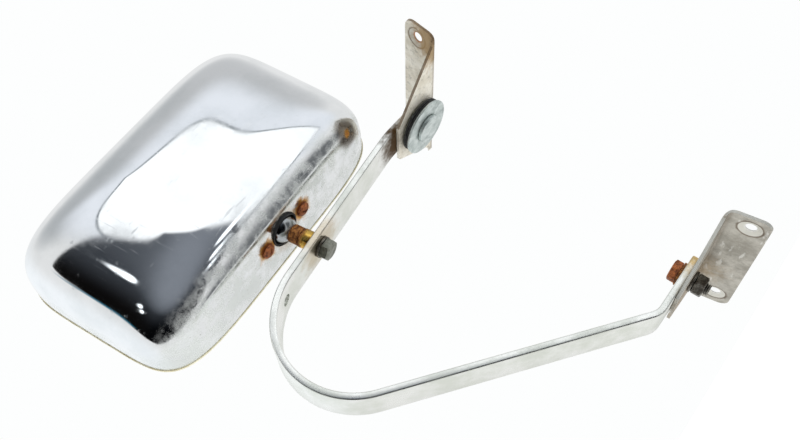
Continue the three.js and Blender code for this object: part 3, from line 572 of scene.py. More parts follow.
def dull_zinc_sheet(name, light, dark, stain, upward, throat_tint, edge_tint):
    material, tree, shader, place = new_material(name, 0.5, 0.6)
    blotch = grain(tree, place, 16, 6, 0.7)
    mottle = grain(tree, place, 3.2, 5, 0.7)
    speck = grain(tree, place, 0.9, 4, 0.7)
    scuff = grain(tree, place, 2.0, 3, 0.5, (1, 0.12, 0.5))
    ragged = grain(tree, place, 5, 5, 0.7)
    base = blend(tree, ramp(tree, blotch, 0.35, 0.65), light, dark)
    base = blend(tree, calc(tree, "MULTIPLY", ramp(tree, mottle, 0.5, 0.7), 0.5), base, colour("#8d887c"))
    base = blend(tree, calc(tree, "MULTIPLY", ramp(tree, scuff, 0.62, 0.7), 0.6), base, colour("#e6e4de"))
    for y in HOLE_ALONG:
        centre = hole_place(y, upward)
        outside = near(tree, place, centre, 7.7, 9.2, ragged)
        inside = near(tree, place, centre, 7.0, 7.6)
        throat = near(tree, place, centre, 3.6, 4.8)
        base = blend(tree, calc(tree, "MULTIPLY", outside, 0.75), base, colour("#5f4c36"))
        base = blend(tree, inside, base, colour("#d9d6cc"))
        base = blend(tree, calc(tree, "MULTIPLY", throat, 0.8), base, throat_tint)
    base = blend(tree, stain(tree, place, ragged), base, colour("#9c7b44"))
    fold_height = PIVOT_HEIGHT - FLANGE_MID if upward else -FLANGE_MID
    fold = near_line(tree, place, FOLD_AT, fold_height, 1.5, 4.5)
    base = blend(tree, calc(tree, "MULTIPLY", fold, 0.45), base, colour("#6b5a45"))
    # Sheared edges face along the bracket and had no plate: bare, or brown where they rusted.
    flat_normal = add_node(tree, "ShaderNodeNewGeometry").outputs["True Normal"]
    local = add_node(tree, "ShaderNodeVectorTransform", {
        "vector_type": "NORMAL", "convert_from": "WORLD", "convert_to": "OBJECT"}, {0: flat_normal})
    along = axis_value(tree, local.outputs[0], "Y")
    side = add_node(tree, "ShaderNodeMath", {"operation": "ABSOLUTE"}, {0: along}).outputs[0]
    uneven = ramp(tree, ragged, 0.3, 0.5, 0.5, 0.85)
    sheared = calc(tree, "MULTIPLY", ramp(tree, side, 0.3, 0.6), uneven)
    base = blend(tree, sheared, base, edge_tint)
    rough = calc(tree, "ADD", ramp(tree, blotch, 0.3, 0.7, 0.4, 0.55), calc(tree, "MULTIPLY", speck, 0.12))
    connect(tree, shader, Base_Color=base, Roughness=rough)
    dents = ramp(tree, grain(tree, place, 11, 2, 0.4), 0.6, 0.78)
    height = calc(tree, "ADD", calc(tree, "MULTIPLY", dents, 0.8), calc(tree, "MULTIPLY", speck, 0.12))
    relief(tree, shader, height, 0.35, 0.6)
    return material


def near_line(tree, place, x_mm, z_mm, inner_mm, outer_mm):
    """1 near the fold, which runs along Y at an X and a Z."""
    flat = add_node(tree, "ShaderNodeVectorMath", {"operation": "MULTIPLY"}, {0: place, 1: (1, 0, 1)})
    return near(tree, flat.outputs[0], (x_mm, 0, z_mm), inner_mm, outer_mm)


def upper_stain(tree, place, ragged):
    corner = near(tree, place, (-19, 60, PIVOT_HEIGHT), 8, 22, ragged)
    return calc(tree, "MULTIPLY", corner, 0.85)


def lower_stain(tree, place, ragged):
    under_nut = near(tree, place, (0, -10, -5), 12, 30, ragged)
    return calc(tree, "MULTIPLY", under_nut, 0.5)


upper_sheet = dull_zinc_sheet("cream_dull_zinc_sheet", colour("#f0ebdf"), colour("#dcd5c5"),
                              upper_stain, True, colour("#c8702c"), colour("#6e5a43"))
lower_sheet = dull_zinc_sheet("grey_dull_zinc_sheet", colour("#c3beb3"), colour("#a39e93"),
                              lower_stain, False, colour("#e4e2dc"), colour("#b8b8b2"))


# %% [markdown]
# ### Rust, plain steel, galvanised and yellow-zinc steel
# Rust is not a metal: it is a rough, matt crust in several browns. Plain plated fasteners stay grey metal.
# Galvanised washers show soft crystal patches, and yellow zinc is a gold film that rusts through in spots.
# %% Fastener finishes
def rusted_steel():
    material, tree, shader, place = new_material("rusted_steel", 0.85, 0.15)
    crust = grain(tree, place, 2.6, 6, 0.75)
    grit = grain(tree, place, 0.5, 4, 0.7)
    base = blend(tree, ramp(tree, crust, 0.35, 0.62), colour("#5a2f1a"), colour("#ad6639"))
    base = blend(tree, calc(tree, "MULTIPLY", ramp(tree, grit, 0.6, 0.75), 0.6), base, colour("#c9854c"))
    connect(tree, shader, Base_Color=base, Roughness=ramp(tree, grit, 0.3, 0.7, 0.6, 0.95))
    relief(tree, shader, calc(tree, "ADD", crust, calc(tree, "MULTIPLY", grit, 0.4)), 0.35, 0.8)
    return material


def grey_plated_steel(name, light, dark, rust):
    material, tree, shader, place = new_material(name, 0.45, 0.9)
    film = grain(tree, place, 5, 6, 0.7)
    grit = grain(tree, place, 0.7, 4, 0.6)
    base = blend(tree, ramp(tree, film, 0.35, 0.65), colour(light), colour(dark))
    base = blend(tree, calc(tree, "MULTIPLY", ramp(tree, grain(tree, place, 3, 6, 0.8), 0.56, 0.7), rust),
                 base, colour("#6b3d20"))
    connect(tree, shader, Base_Color=base, Roughness=ramp(tree, film, 0.3, 0.7, 0.34, 0.6))
    relief(tree, shader, grit, 0.08, 0.5)
    return material


def galvanised_steel():
    material, tree, shader, place = new_material("galvanised_steel", 0.42, 0.85)
    spangle = add_node(tree, "ShaderNodeTexVoronoi", None, {"Vector": place, "Scale": 1 / (2.8 * MM)})
    tone = add_node(tree, "ShaderNodeSeparateColor", None, {0: spangle.outputs["Color"]}).outputs[0]
    film = grain(tree, place, 7, 5, 0.7)
    base = blend(tree, ramp(tree, tone, 0.0, 1.0), colour("#c3ccc9"), colour("#d6dddb"))
    base = blend(tree, ramp(tree, film, 0.45, 0.75), base, colour("#aab3b1"))
    connect(tree, shader, Base_Color=base, Roughness=ramp(tree, film, 0.3, 0.7, 0.36, 0.55))
    relief(tree, shader, calc(tree, "ADD", film, grain(tree, place, 0.8, 4, 0.7)), 0.1, 0.4)
    return material


def yellow_zinc(name, rust_from, rust_to, bare_from=None):
    """Gold film that goes rust-brown between two heights along the stud, in millimetres, and bare above."""
    material, tree, shader, place = new_material(name, 0.3, 1.0)
    film = grain(tree, place, 4, 5, 0.7)
    crust = grain(tree, place, 1.6, 6, 0.75)
    height = axis_value(tree, place, "Z")
    wobbly = add_node(tree, "ShaderNodeMath", {"operation": "MULTIPLY_ADD"}, {0: crust, 1: 5 * MM, 2: height})
    rust = ramp(tree, wobbly.outputs[0], rust_from * MM, rust_to * MM)
    base = blend(tree, ramp(tree, film, 0.35, 0.65), colour("#e3bd62"), colour("#b07a2c"))
    rusty = blend(tree, ramp(tree, crust, 0.4, 0.62), colour("#5a3218"), colour("#b37a42"))
    base = blend(tree, rust, base, rusty)
    rough = ramp(tree, rust, 0, 1, 0.26, 0.62)
    if bare_from is not None:
        bare = ramp(tree, wobbly.outputs[0], bare_from * MM, (bare_from + 1) * MM)
        base = blend(tree, bare, base, blend(tree, film, colour("#8f9294"), colour("#c3c6c8")))
        rough = calc(tree, "SUBTRACT", rough, calc(tree, "MULTIPLY", bare, 0.45))
        rust = calc(tree, "SUBTRACT", rust, bare)
    connect(tree, shader, Base_Color=base, Roughness=rough, Metallic=ramp(tree, rust, 0, 1, 1.0, 0.6))
    relief(tree, shader, calc(tree, "MULTIPLY", rust, crust), 0.5, 0.8)
    return material


rust = rusted_steel()
grey_steel = grey_plated_steel("grey_plated_steel", "#93948a", "#75766c", 0.35)
dark_steel = grey_plated_steel("weathered_plain_steel", "#96938b", "#57514a", 0.6)
galvanised = galvanised_steel()
gold_zinc = yellow_zinc("yellow_zinc_rusted_through", 0, 1)
stud_zinc = yellow_zinc("yellow_zinc_rusting", -17.5, -14.5)


# %% [markdown]
# ### Rubber, glass and board
# Weathered rubber is nearly black with a grey bloom. The glazing rubber has yellowed. The mirror is silvered
# at the back of the glass, so it is a metal finish with a smooth coat, and the silver fails from its edges.
# %% Non-metal finishes
def weathered_rubber():
    material, tree, shader, place = new_material("weathered_black_rubber", 0.75, 0.0)
    bloom = grain(tree, place, 2.5, 5, 0.7)
    base = blend(tree, ramp(tree, bloom, 0.45, 0.7), colour("#191a1c"), colour("#3c3b3a"))
    base = blend(tree, calc(tree, "MULTIPLY", ramp(tree, grain(tree, place, 5, 4, 0.6), 0.6, 0.75), 0.5),
                 base, colour("#2a4a52"))
    connect(tree, shader, Base_Color=base, Roughness=ramp(tree, bloom, 0.3, 0.7, 0.55, 0.85))
    relief(tree, shader, grain(tree, place, 0.7, 4, 0.7), 0.15, 0.6)
    return material


def yellowed_rubber():
    material, tree, shader, place = new_material("yellowed_glazing_rubber", 0.55, 0.0)
    dirt = grain(tree, place, 12, 6, 0.7)
    base = blend(tree, ramp(tree, dirt, 0.4, 0.62), colour("#e8e2c8"), colour("#cfc6a2"))
    base = blend(tree, calc(tree, "MULTIPLY", ramp(tree, grain(tree, place, 2, 5, 0.7), 0.58, 0.72), 0.6),
                 base, colour("#7d745a"))
    connect(tree, shader, Base_Color=base)
    relief(tree, shader, grain(tree, place, 1.0, 4, 0.6), 0.08, 0.5)
    return material


def silvered_glass():
    material, tree, shader, place = new_material("silvered_flat_glass", 0.015, 1.0)
    shader.inputs["Coat Weight"].default_value = 1.0
    shader.inputs["Coat Roughness"].default_value = 0.01
    shader.inputs["Coat IOR"].default_value = 1.52
    x = add_node(tree, "ShaderNodeMath", {"operation": "ABSOLUTE"}, {0: axis_value(tree, place, "X")})
    z_axis = axis_value(tree, place, "Z")
    edge_x = ramp(tree, x.outputs[0], 0.098, 0.108)
    edge_low = ramp(tree, z_axis, 0.002, -0.004)
    edge_high = ramp(tree, z_axis, 0.119, 0.126)
    edge = calc(tree, "MAXIMUM", edge_x, calc(tree, "MAXIMUM", edge_low, edge_high))
    decay = calc(tree, "MULTIPLY", edge, ramp(tree, grain(tree, place, 4, 6, 0.75), 0.5, 0.66))
    spots = ramp(tree, grain(tree, place, 3, 5, 0.8), 0.74, 0.8)
    tarnish_and_painted_reflection = calc(tree, "MAXIMUM", decay, spots)
    base = blend(tree, tarnish_and_painted_reflection, colour("#e9eeee"), colour("#57544c"))
    dust = ramp(tree, grain(tree, place, 40, 6, 0.7), 0.45, 0.7, 0.012, 0.05)
    rough = calc(tree, "ADD", dust, calc(tree, "MULTIPLY", tarnish_and_painted_reflection, 0.3))
    connect(tree, shader, Base_Color=base, Roughness=rough)
    return material


def fibre_board():
    material, tree, shader, place = new_material("brown_fibre_board", 0.9, 0.0)
    fibre = grain(tree, place, 1.5, 5, 0.7, (0.3, 1, 1))
    connect(tree, shader, Base_Color=blend(tree, fibre, colour("#4f402f"), colour("#8a7353")))
    relief(tree, shader, fibre, 0.1, 0.6)
    return material


rubber = weathered_rubber()
glazing = yellowed_rubber()
silvered = silvered_glass()
board = fibre_board()

# %% [markdown]
# ## The head shell
# A deep-drawn steel pillow: rounded-rectangle outline, domed back, and one flat land pressed into the lower
# wall to take the ball joint. A subdivided box would wobble in the reflections, so each point is worked out:
# round the outline by angle, and up the side by a curve that starts square at the rim and ends as a dome.
# %% Shape of the head
INBOARD, OUTBOARD, ABOVE, BELOW = 106.0, 114.5, 132.5, 4.3
RIM, CROWN = -21.0, 30.0
PLAN_POWER, DOME_POWER, SHOULDER_POWER = 5.5, 2.4, 4.5
WALL = 1.2
LAND_FILLET = 1.6
LAND_SLOPE, LAND_START = 0.14, -12.5
HALF_WIDTH = (OUTBOARD + INBOARD) / 2
HALF_HEIGHT = (ABOVE + BELOW) / 2
CENTRE_X = (OUTBOARD - INBOARD) / 2
CENTRE_Z = (ABOVE - BELOW) / 2 - LAND_DEPTH


def outline_point(angle, inset, share=1.0):
    """A point on the head's outline, shrunk by an inset, or a share of the way out to it."""
    c, s = math.cos(angle), math.sin(angle)
    reach = share / (abs(c) ** PLAN_POWER + abs(s) ** PLAN_POWER) ** (1 / PLAN_POWER)
    return CENTRE_X + reach * c * (HALF_WIDTH - inset), CENTRE_Z + reach * s * (HALF_HEIGHT - inset)


def land_height(y, inset=0.0):
    """Height of the flat land at a depth; below its start it steps down and away."""
    return LAND_SLOPE * y - LAND_DEPTH + inset - max(0.0, LAND_START - y)


def soft_maximum(a, b, radius):
    """The larger of two heights, with a small fillet where they cross."""
    gap = max(radius - abs(a - b), 0.0) / radius
    return max(a, b) + gap * gap * radius / 4


def shell_skin(inset, around, rings, crease):
    """Rows of points from the rim to the crown, on the outer or the inner face of the sheet."""
    depth = CROWN - RIM - inset
    rows = []
    for i in range(rings):
        angle = i / rings * math.pi / 2
        reach = math.cos(angle) ** (2 / SHOULDER_POWER)
        y = RIM + depth * (1 - reach ** DOME_POWER) ** (1 / SHOULDER_POWER)
        row = []
        for k in range(around):
            x, z = outline_point(2 * math.pi * k / around, inset, reach)
            if z < CENTRE_Z:
                z = soft_maximum(z, land_height(y, inset), crease)
            row.append((x, y, z))
        rows.append(row)
    return rows, (CENTRE_X, RIM + depth, CENTRE_Z)


def head_shell_mesh():
    around, rings = 320, 84
    outer, outer_top = shell_skin(0, around, rings, LAND_FILLET)
    inner, inner_top = shell_skin(WALL, around, rings, LAND_FILLET)
    vertices = [point for row in outer for point in row] + [outer_top]
    start = len(vertices)
    vertices += [point for row in inner for point in row] + [inner_top]
    faces = []
    for base, flip in ((0, False), (start, True)):
        for i in range(rings - 1):
            for k in range(around):
                m = (k + 1) % around
                quad = (base + i * around + k, base + i * around + m,
                        base + (i + 1) * around + m, base + (i + 1) * around + k)
                faces.append(quad[::-1] if flip else quad)
        top = base + rings * around
        for k in range(around):
            m = (k + 1) % around
            tri = (base + (rings - 1) * around + k, base + (rings - 1) * around + m, top)
            faces.append(tri[::-1] if flip else tri)
    for k in range(around):
        m = (k + 1) % around
        faces.append((k, start + k, start + m, m))
    return face_outward(make_object("chrome_head_shell", vertices, faces, HEAD))


OPENING, SCREW_HOLE = 24.0, 5.1
shell = head_shell_mesh()
shell = drilled(shell, OPENING, (0, 0, -LAND_DEPTH), HEAD, 20)
for reach_x in (-SCREW_REACH, SCREW_REACH):
    shell = drilled(shell, SCREW_HOLE, (reach_x, 0, -LAND_DEPTH), HEAD, 12)
smooth(shell, 40)
finish(shell, chrome, "head", "head_shell")


# %% [markdown]
# ## Glass, gasket and board
# The gasket is one moulded rubber ring: a round bead over the rim of the shell and a lip over the glass.
# It is drawn as a section carried round the same outline as the head, so it follows every corner.
# %% Front of the head
def carried_round(name, section, place, around=288):
    """Carries a closed [inset, y] section round the head's outline."""
    vertices = []
    for inset, y in section:
        for k in range(around):
            x, z = outline_point(2 * math.pi * k / around, inset)
            vertices.append((x, y, z))
    faces = []
    rows = len(section)
    for i in range(rows):
        j = (i + 1) % rows
        for k in range(around):
            m = (k + 1) % around
            faces.append((i * around + k, i * around + m, j * around + m, j * around + k))
    return face_outward(make_object(name, vertices, faces, place))


def outline_sheet(name, inset, y0, y1, place, around=192):
    """A flat sheet of the head's outline with a small arris."""
    rim = 0.4
    rings = [(inset + rim, y0), (inset, y0 + rim), (inset, y1 - rim), (inset + rim, y1)]
    vertices = []
    for share_inset, y in rings:
        for k in range(around):
            x, z = outline_point(2 * math.pi * k / around, share_inset)
            vertices.append((x, y, z))
    faces = [tuple(range(around)), tuple(range(4 * around - 1, 3 * around - 1, -1))]
    for i in range(3):
        for k in range(around):
            m = (k + 1) % around
            faces.append((i * around + k, i * around + m, (i + 1) * around + m, (i + 1) * around + k))
    return face_outward(make_object(name, vertices, faces, place))


bead = [(-0.5, RIM - 0.3), (-0.5, RIM - 1.6), (0.4, RIM - 2.4), (1.6, RIM - 2.6), (3.6, RIM - 2.4),
        (5.0, RIM - 1.2), (5.0, RIM), (3.2, RIM), (3.2, RIM + 5.0), (1.5, RIM + 5.0), (1.5, RIM - 0.3)]
gasket = smooth(carried_round("glazing_gasket", bead, HEAD), 50)
finish(gasket, glazing, "head", "glass_gasket")
GLASS_BACK = RIM + 0.3
glass = smooth(outline_sheet("silvered_glass", 3.5, GLASS_BACK, GLASS_BACK + 3, HEAD))
finish(glass, silvered, "head", "mirror_glass")
backing = smooth(outline_sheet("backing_board", 7.5, GLASS_BACK + 3.3, GLASS_BACK + 4.8, HEAD))
finish(backing, board, "head", "glass_pad")

# %% [markdown]
# ## Ball joint
# The ball sits in a cup behind the land, in a black rubber ring. A stud with a rusted shoulder carries it,
# and a yellow-zinc sleeve spaces the stud off the bar. Each is a turned piece with its edges broken.
# %% Ball, stud, sleeve, ring and cup
STUD_LENGTH, BALL_IN = 23.0, LAND_DEPTH
BAR_THICK = 4.76
BAR_MIDDLE = -(BAR_THICK / 2 + STUD_LENGTH + BALL_IN)
GAP = 0.3
BAR_TOP = BAR_MIDDLE + BAR_THICK / 2
SLEEVE_LENGTH, SHOULDER_LENGTH = 9.2, 7
SLEEVE_TOP = BAR_TOP + GAP + SLEEVE_LENGTH
SHOULDER_TOP = SLEEVE_TOP + GAP + SHOULDER_LENGTH
SLEEVE_INNER, SLEEVE_OUTER = 4.3, 6.5
SEAL_INNER, SEAL_OUTER = 10.6, 11.7
CUP_INNER, CUP_OUTER = 10.3, 12.3
# The head rolls this far, so the cup stops short of the ring by as much.
HEAD_ROLL = 5


def ball_stud():
    neck, shoulder, radius = 4.5, 6.2, 10.0
    foot = SLEEVE_TOP + GAP
    lower = [(0, foot), (shoulder, foot), (shoulder, SHOULDER_TOP), (neck, SHOULDER_TOP + 1.5),
             (neck, SHOULDER_TOP + 3)]
    profile = [(0, foot)] + rounded(lower, 0.8)[1:-1]
    start = math.asin(neck / radius)
    for k in range(33):
        angle = start + (math.pi - start) * k / 32
        profile.append((0 if k == 32 else radius * math.sin(angle), -radius * math.cos(angle)))
    return smooth(turned("ball_stud", profile, STUD, 96), 60)


stud = ball_stud()
stud_steel = yellow_zinc("rusting_stud_with_bright_ball", -60, -50, -6.5)
finish(stud, stud_steel, "ball", "ball_stud")
sleeve_foot = BAR_TOP + GAP
sleeve_profile = rounded([(SLEEVE_INNER, sleeve_foot), (SLEEVE_OUTER, sleeve_foot),
                          (SLEEVE_OUTER, SLEEVE_TOP), (SLEEVE_INNER, SLEEVE_TOP)], 0.6)
finish(smooth(turned("zinc_sleeve", sleeve_profile, STUD, 96)), stud_zinc, "arm", "stud_sleeve")
seal_low, seal_high = -LAND_DEPTH - 0.8, -LAND_DEPTH + WALL + LAND_SLOPE * 13
seal_profile = rounded([(SEAL_INNER, seal_low), (SEAL_OUTER, seal_low), (SEAL_OUTER, seal_high),
                        (SEAL_INNER, seal_high)], 0.5)
finish(smooth(turned("ball_seal_ring", seal_profile, HEAD, 96)), rubber, "head", "ball_seal")


def socket_cup():
    rim_z = seal_high + GAP + SEAL_OUTER * math.sin(math.radians(HEAD_ROLL))
    lowest = math.acos(rim_z / CUP_OUTER)

    def arc(radius):
        return [(radius * math.sin(lowest * k / 16), radius * math.cos(lowest * k / 16)) for k in range(17)]
    return smooth(turned("socket_cup", arc(CUP_INNER) + arc(CUP_OUTER)[::-1], HEAD, 72), 50)


finish(socket_cup(), dark_steel, "socket", "socket_cup")


# %% [markdown]
# ## Screws in the land
# Two round-head screws, rusted through, hold the clamp plate behind the land. Their slots are still there
# under the crust, so each head is turned and then cut with a saw kerf.
# %% Socket screws, nuts, clamp
def box_tool(size, at, place):
    hx, hy, hz = (side / 2 for side in size)
    vertices = [(at[0] + sx * hx, at[1] + sy * hy, at[2] + sz * hz)
                for sx in (-1, 1) for sy in (-1, 1) for sz in (-1, 1)]
    faces = [(0, 1, 3, 2), (4, 6, 7, 5), (0, 4, 5, 1), (2, 3, 7, 6), (0, 2, 6, 4), (1, 5, 7, 3)]
    return face_outward(make_object("kerf", vertices, faces, place))


SCREW_HEAD, SCREW_RADIUS, SCREW_END = 5, 2.25, 6.0


def socket_screw(name, x, turn):
    top = -LAND_DEPTH - LAND_SLOPE * SCREW_HEAD - GAP
    seat = HEAD @ Matrix.Translation(Vector((x, 0, 0)) * MM) @ Matrix.Rotation(math.radians(turn), 4, "Z")
    crown = [(0, top - 2.6)]
    for degrees in range(12, 91, 13):
        angle = math.radians(degrees)
        crown.append((SCREW_HEAD * math.sin(angle), top - 0.5 - 2.1 * math.cos(angle)))
    profile = crown + [(SCREW_HEAD, top), (SCREW_RADIUS, top), (SCREW_RADIUS, SCREW_END), (0, SCREW_END)]
    screw = turned(name, profile, seat, 48)
    screw = join_by(screw, box_tool((12, 1.3, 1.4), (0, 0, top - 2.4), seat), "DIFFERENCE")
    return smooth(screw, 40)


SCREWS = [("socket_screw_inboard", -SCREW_REACH, 35), ("socket_screw_outboard", SCREW_REACH, 110)]
for name, x, turn in SCREWS:
    finish(socket_screw(name + "_head", x, turn), rust, "head", name)


# %% [markdown]
# ## Small turned and hexagonal hardware
# Washers repeat, so one function turns them all. The stack under the upper bracket is what the eye meets
# first, and one list gives it from the plate down: a flat washer, two rubbers and a big galvanised washer.
# The pin's head closes the stack.
# %% Washer stack and pivot pin
def washer(name, outer, inner, z0, z1, place, rounding=0.35):
    profile = rounded([(inner / 2, z0), (outer / 2, z0), (outer / 2, z1), (inner / 2, z1)], rounding)
    return smooth(turned(name, profile, place, 96), 50)


HOLE = 8.6
SMALL_WASHER, LOCK_WASHER, WASHER_THICK = 16, 14.5, 1.6
HEX_ACROSS, HEX_HEAD, NUT_HEIGHT = 12.7, 5.3, 6.9
PIN_HEAD_RADIUS, PIN_HEAD_HEIGHT, PIN_RADIUS = 10.5, 2.6, 4
UPPER_FLANGE = PIVOT_HEIGHT - FLANGE_MID
stack = [("grey_flat_washer", "flat_washer", 37, 1.0, grey_steel, "grey_steel"),
         ("rubber_washer_one", "rubber_washer_upper", 39.5, 1.7, rubber, "black_rubber"),
         ("rubber_washer_two", "rubber_washer_lower", 39.5, 1.7, rubber, "black_rubber"),
         ("large_zinc_washer", "steel_washer", 41, 1.6, galvanised, "zinc")]
level = UPPER_FLANGE - 1 - GAP
for name, node, outer, thick, material, slot in stack:
    piece = washer(name, outer, HOLE, level - thick, level, UPPER, 0.3)
    finish(piece, material, "upper_bracket", node)
    level -= thick + GAP
pin_low = level - PIN_HEAD_HEIGHT
top_washer = PIVOT_HEIGHT + BAR_THICK / 2 + GAP
end_low = top_washer + WASHER_THICK + GAP
pin_end = end_low + 2.4
pin_outline = [(0, pin_low), (PIN_HEAD_RADIUS, pin_low), (PIN_HEAD_RADIUS, level), (PIN_RADIUS, level),
               (PIN_RADIUS, end_low), (6.5, end_low), (6.5, end_low + 0.8), (5.2, end_low + 1.9),
               (2.6, pin_end), (0, pin_end)]
pin_profile = [(0, pin_low)] + rounded(pin_outline, 0.6)[1:-1] + [(0, pin_end)]
pivot_pin = smooth(turned("pivot_pin", pin_profile, UPPER, 96), 50)
finish(pivot_pin, galvanised, "upper_bracket", "pivot_pin")

# %% Bolts and nuts
pivot_washer = washer("pivot_top_washer", SMALL_WASHER, HOLE, top_washer, top_washer + WASHER_THICK, UPPER)
finish(pivot_washer, grey_steel, "upper_bracket", "pivot_washer")


def hex_nut(name, z0, z1, place):
    nut = hexagon(name, HEX_ACROSS, z0, z1, place, True, True)
    nut = drilled(nut, HOLE, (0, 0, (z0 + z1) / 2), place, 20)
    return smooth(soften(nut, 0.15), 30)


lock_top = -FLANGE_MID - 1 - GAP
nut_top = lock_top - WASHER_THICK - GAP
nut_bottom = nut_top - NUT_HEIGHT
lock_washer = washer("hinge_lock_washer", LOCK_WASHER, HOLE, lock_top - WASHER_THICK, lock_top, LOWER)
finish(lock_washer, dark_steel, "lower_bracket", "hinge_lock_washer")
hinge_nut = hex_nut("hinge_nut", nut_bottom, nut_top, LOWER @ Matrix.Rotation(math.radians(12), 4, "Z"))
finish(hinge_nut, dark_steel, "lower_bracket", "hinge_nut")
washer_low = BAR_THICK / 2 + GAP
head_washer = washer("hinge_head_washer", SMALL_WASHER, HOLE, washer_low, washer_low + WASHER_THICK, LOWER)
finish(head_washer, gold_zinc, "lower_bracket", "hinge_washer")


def threaded(name, diameter, pitch, z0, z1, place, around=40):
    """A rod with a real helical thread, from z0 to z1."""
    depth = pitch * 0.6
    steps = max(8, round((z1 - z0) / pitch * 8))
    vertices = [(0, 0, z0)]
    for i in range(steps + 1):
        z = z0 + (z1 - z0) * i / steps
        fade = min(1.0, i / 4, (steps - i) / 4)
        for k in range(around):
            turn = (z / pitch - k / around) % 1.0
            radius = diameter / 2 - depth * abs(2 * turn - 1) * fade - 0.5 * (1 - fade)
            angle = 2 * math.pi * k / around
            vertices.append((radius * math.cos(angle), radius * math.sin(angle), z))
    vertices.append((0, 0, z1))
    faces = []
    for i in range(steps):
        for k in range(around):
            m = (k + 1) % around
            a, b = 1 + i * around, 1 + (i + 1) * around
            faces.append((a + k, a + m, b + m, b + k))
    last = 1 + steps * around
    for k in range(around):
        m = (k + 1) % around
        faces.append((0, 1 + m, 1 + k))
        faces.append((len(vertices) - 1, last + k, last + m))
    return face_outward(make_object(name, vertices, faces, place))


head_low = washer_low + WASHER_THICK + GAP
hinge_bolt = smooth(soften(hexagon("hinge_bolt_head", HEX_ACROSS, head_low, head_low + HEX_HEAD,
                                   LOWER @ Matrix.Rotation(math.radians(20), 4, "Z")), 0.2), 30)
finish(hinge_bolt, rust, "lower_bracket", "hinge_bolt")
hinge_shank = smooth(threaded("hinge_bolt_thread", 7.9, 1.41, nut_bottom - 3, head_low - 0.05, LOWER), 60)
finish(hinge_shank, dark_steel, "lower_bracket", "hinge_bolt")

stud_lock = BAR_MIDDLE - BAR_THICK / 2 - GAP
stud_washer = washer("stud_lock_washer", LOCK_WASHER, HOLE, stud_lock - WASHER_THICK, stud_lock, STUD)
finish(stud_washer, dark_steel, "arm", "stud_lock_washer")
stud_head_top = stud_lock - WASHER_THICK - GAP
stud_bolt = hexagon("stud_bolt_head", HEX_ACROSS, stud_head_top - HEX_HEAD, stud_head_top,
                    STUD @ Matrix.Rotation(math.radians(8), 4, "Z"), False, True)
finish(smooth(soften(stud_bolt, 0.2), 30), grey_steel, "arm", "stud_bolt")
shank = turned("stud_bolt_shank", [(0, stud_head_top), (4, stud_head_top), (4, SLEEVE_TOP - GAP),
                                   (0, SLEEVE_TOP - GAP)], STUD, 48)
finish(smooth(shank), grey_steel, "arm", "stud_bolt")


# %% [markdown]
# ## The bar
# Flat bar bent cold round formers: two straight legs, one big loop, small bends at the ends. The section has
# the rounded corners of rolled stock. It is swept along the bends, so the highlights run clean to the tips.
# %% Bar path and sweep
BAR_WIDTH = 25.4
TAB_REACH = 11.0
TOP_SLOPE, WIDE_TURN, LEG_TURN = 8.0, 37.0, 142.7
TOP_START, UPPER_LEG = 25.0, 114.7
TOP_RADIUS, WIDE_RADIUS, TIGHT_RADIUS, LOWER_RADIUS = 60.0, 60.0, 49.0, 13.5


def bar_stretches():
    """(length, radius, turn) of each straight and bend, from the upper tip to the lower tab."""
    def fall(radius, start, end):
        return radius * (math.cos(math.radians(start)) - math.cos(math.radians(end)))
    wide_end = TOP_SLOPE + WIDE_TURN
    fallen = (fall(TOP_RADIUS, 0, TOP_SLOPE) + UPPER_LEG * math.sin(math.radians(TOP_SLOPE))
              + fall(WIDE_RADIUS, TOP_SLOPE, wide_end) + fall(TIGHT_RADIUS, wide_end, LEG_TURN)
              + fall(LOWER_RADIUS, LEG_TURN, 180))
    lower_leg = (PIVOT_HEIGHT - fallen) / math.sin(math.radians(LEG_TURN))
    bends = [(TOP_START + TAB_REACH, 0, 0), (0, TOP_RADIUS, TOP_SLOPE), (UPPER_LEG, 0, 0),
             (0, WIDE_RADIUS, WIDE_TURN), (0, TIGHT_RADIUS, LEG_TURN - wide_end),
             (lower_leg, 0, 0), (0, LOWER_RADIUS, 180 - LEG_TURN)]
    return bends


def bar_stations():
    """Points (x, z, radians turned so far) along the bar's middle line, from the upper tip to the lower."""
    x, z, turned_by = -TAB_REACH, PIVOT_HEIGHT, 0.0
    stations = [(x, z, turned_by)]
    for length, radius, turn in bar_stretches():
        steps = max(2, round(turn / 2.5)) if radius else max(2, round(length / 6))
        for _ in range(steps):
            bend = math.radians(turn) / steps
            run = length / steps if not radius else 2 * radius * math.sin(bend / 2)
            middle = turned_by + bend / 2
            x += run * math.cos(middle)
            z -= run * math.sin(middle)
            turned_by += bend
            stations.append((x, z, turned_by))
    steps = max(2, round((x + TAB_REACH) / 6))
    end = x
    for k in range(1, steps + 1):
        stations.append((end + (-TAB_REACH - end) * k / steps, z, turned_by))
    return stations


def bar_section(half_width, half_thick, radius=1.1, steps=4):
    points = []
    for sign_y, sign_t, start in ((1, 1, 0), (-1, 1, 90), (-1, -1, 180), (1, -1, 270)):
        for k in range(steps + 1):
            angle = math.radians(start + 90 * k / steps)
            points.append((sign_y * (half_width - radius) + radius * math.cos(angle),
                           sign_t * (half_thick - radius) + radius * math.sin(angle)))
    return points


def tip_stations(stations):
    """Adds close stations over the rounded corners of both tips."""
    near_tip = (0.0, 0.25, 0.7, 1.4, 2.4, 3.6, 5.0)
    x0, z0, h0 = stations[0]
    x1, z1, h1 = stations[-1]
    start = [(x0 + s, z0, h0, s) for s in near_tip]
    end = [(x1 + s, z1, h1, s) for s in reversed(near_tip)]
    far, clear_of_tip = 99.0, 5.5
    body = [(x, z, h, far) for x, z, h in stations[1:-1]
            if not (abs(h - h1) < 1e-6 and x < x1 + clear_of_tip)]
    return start + body + end


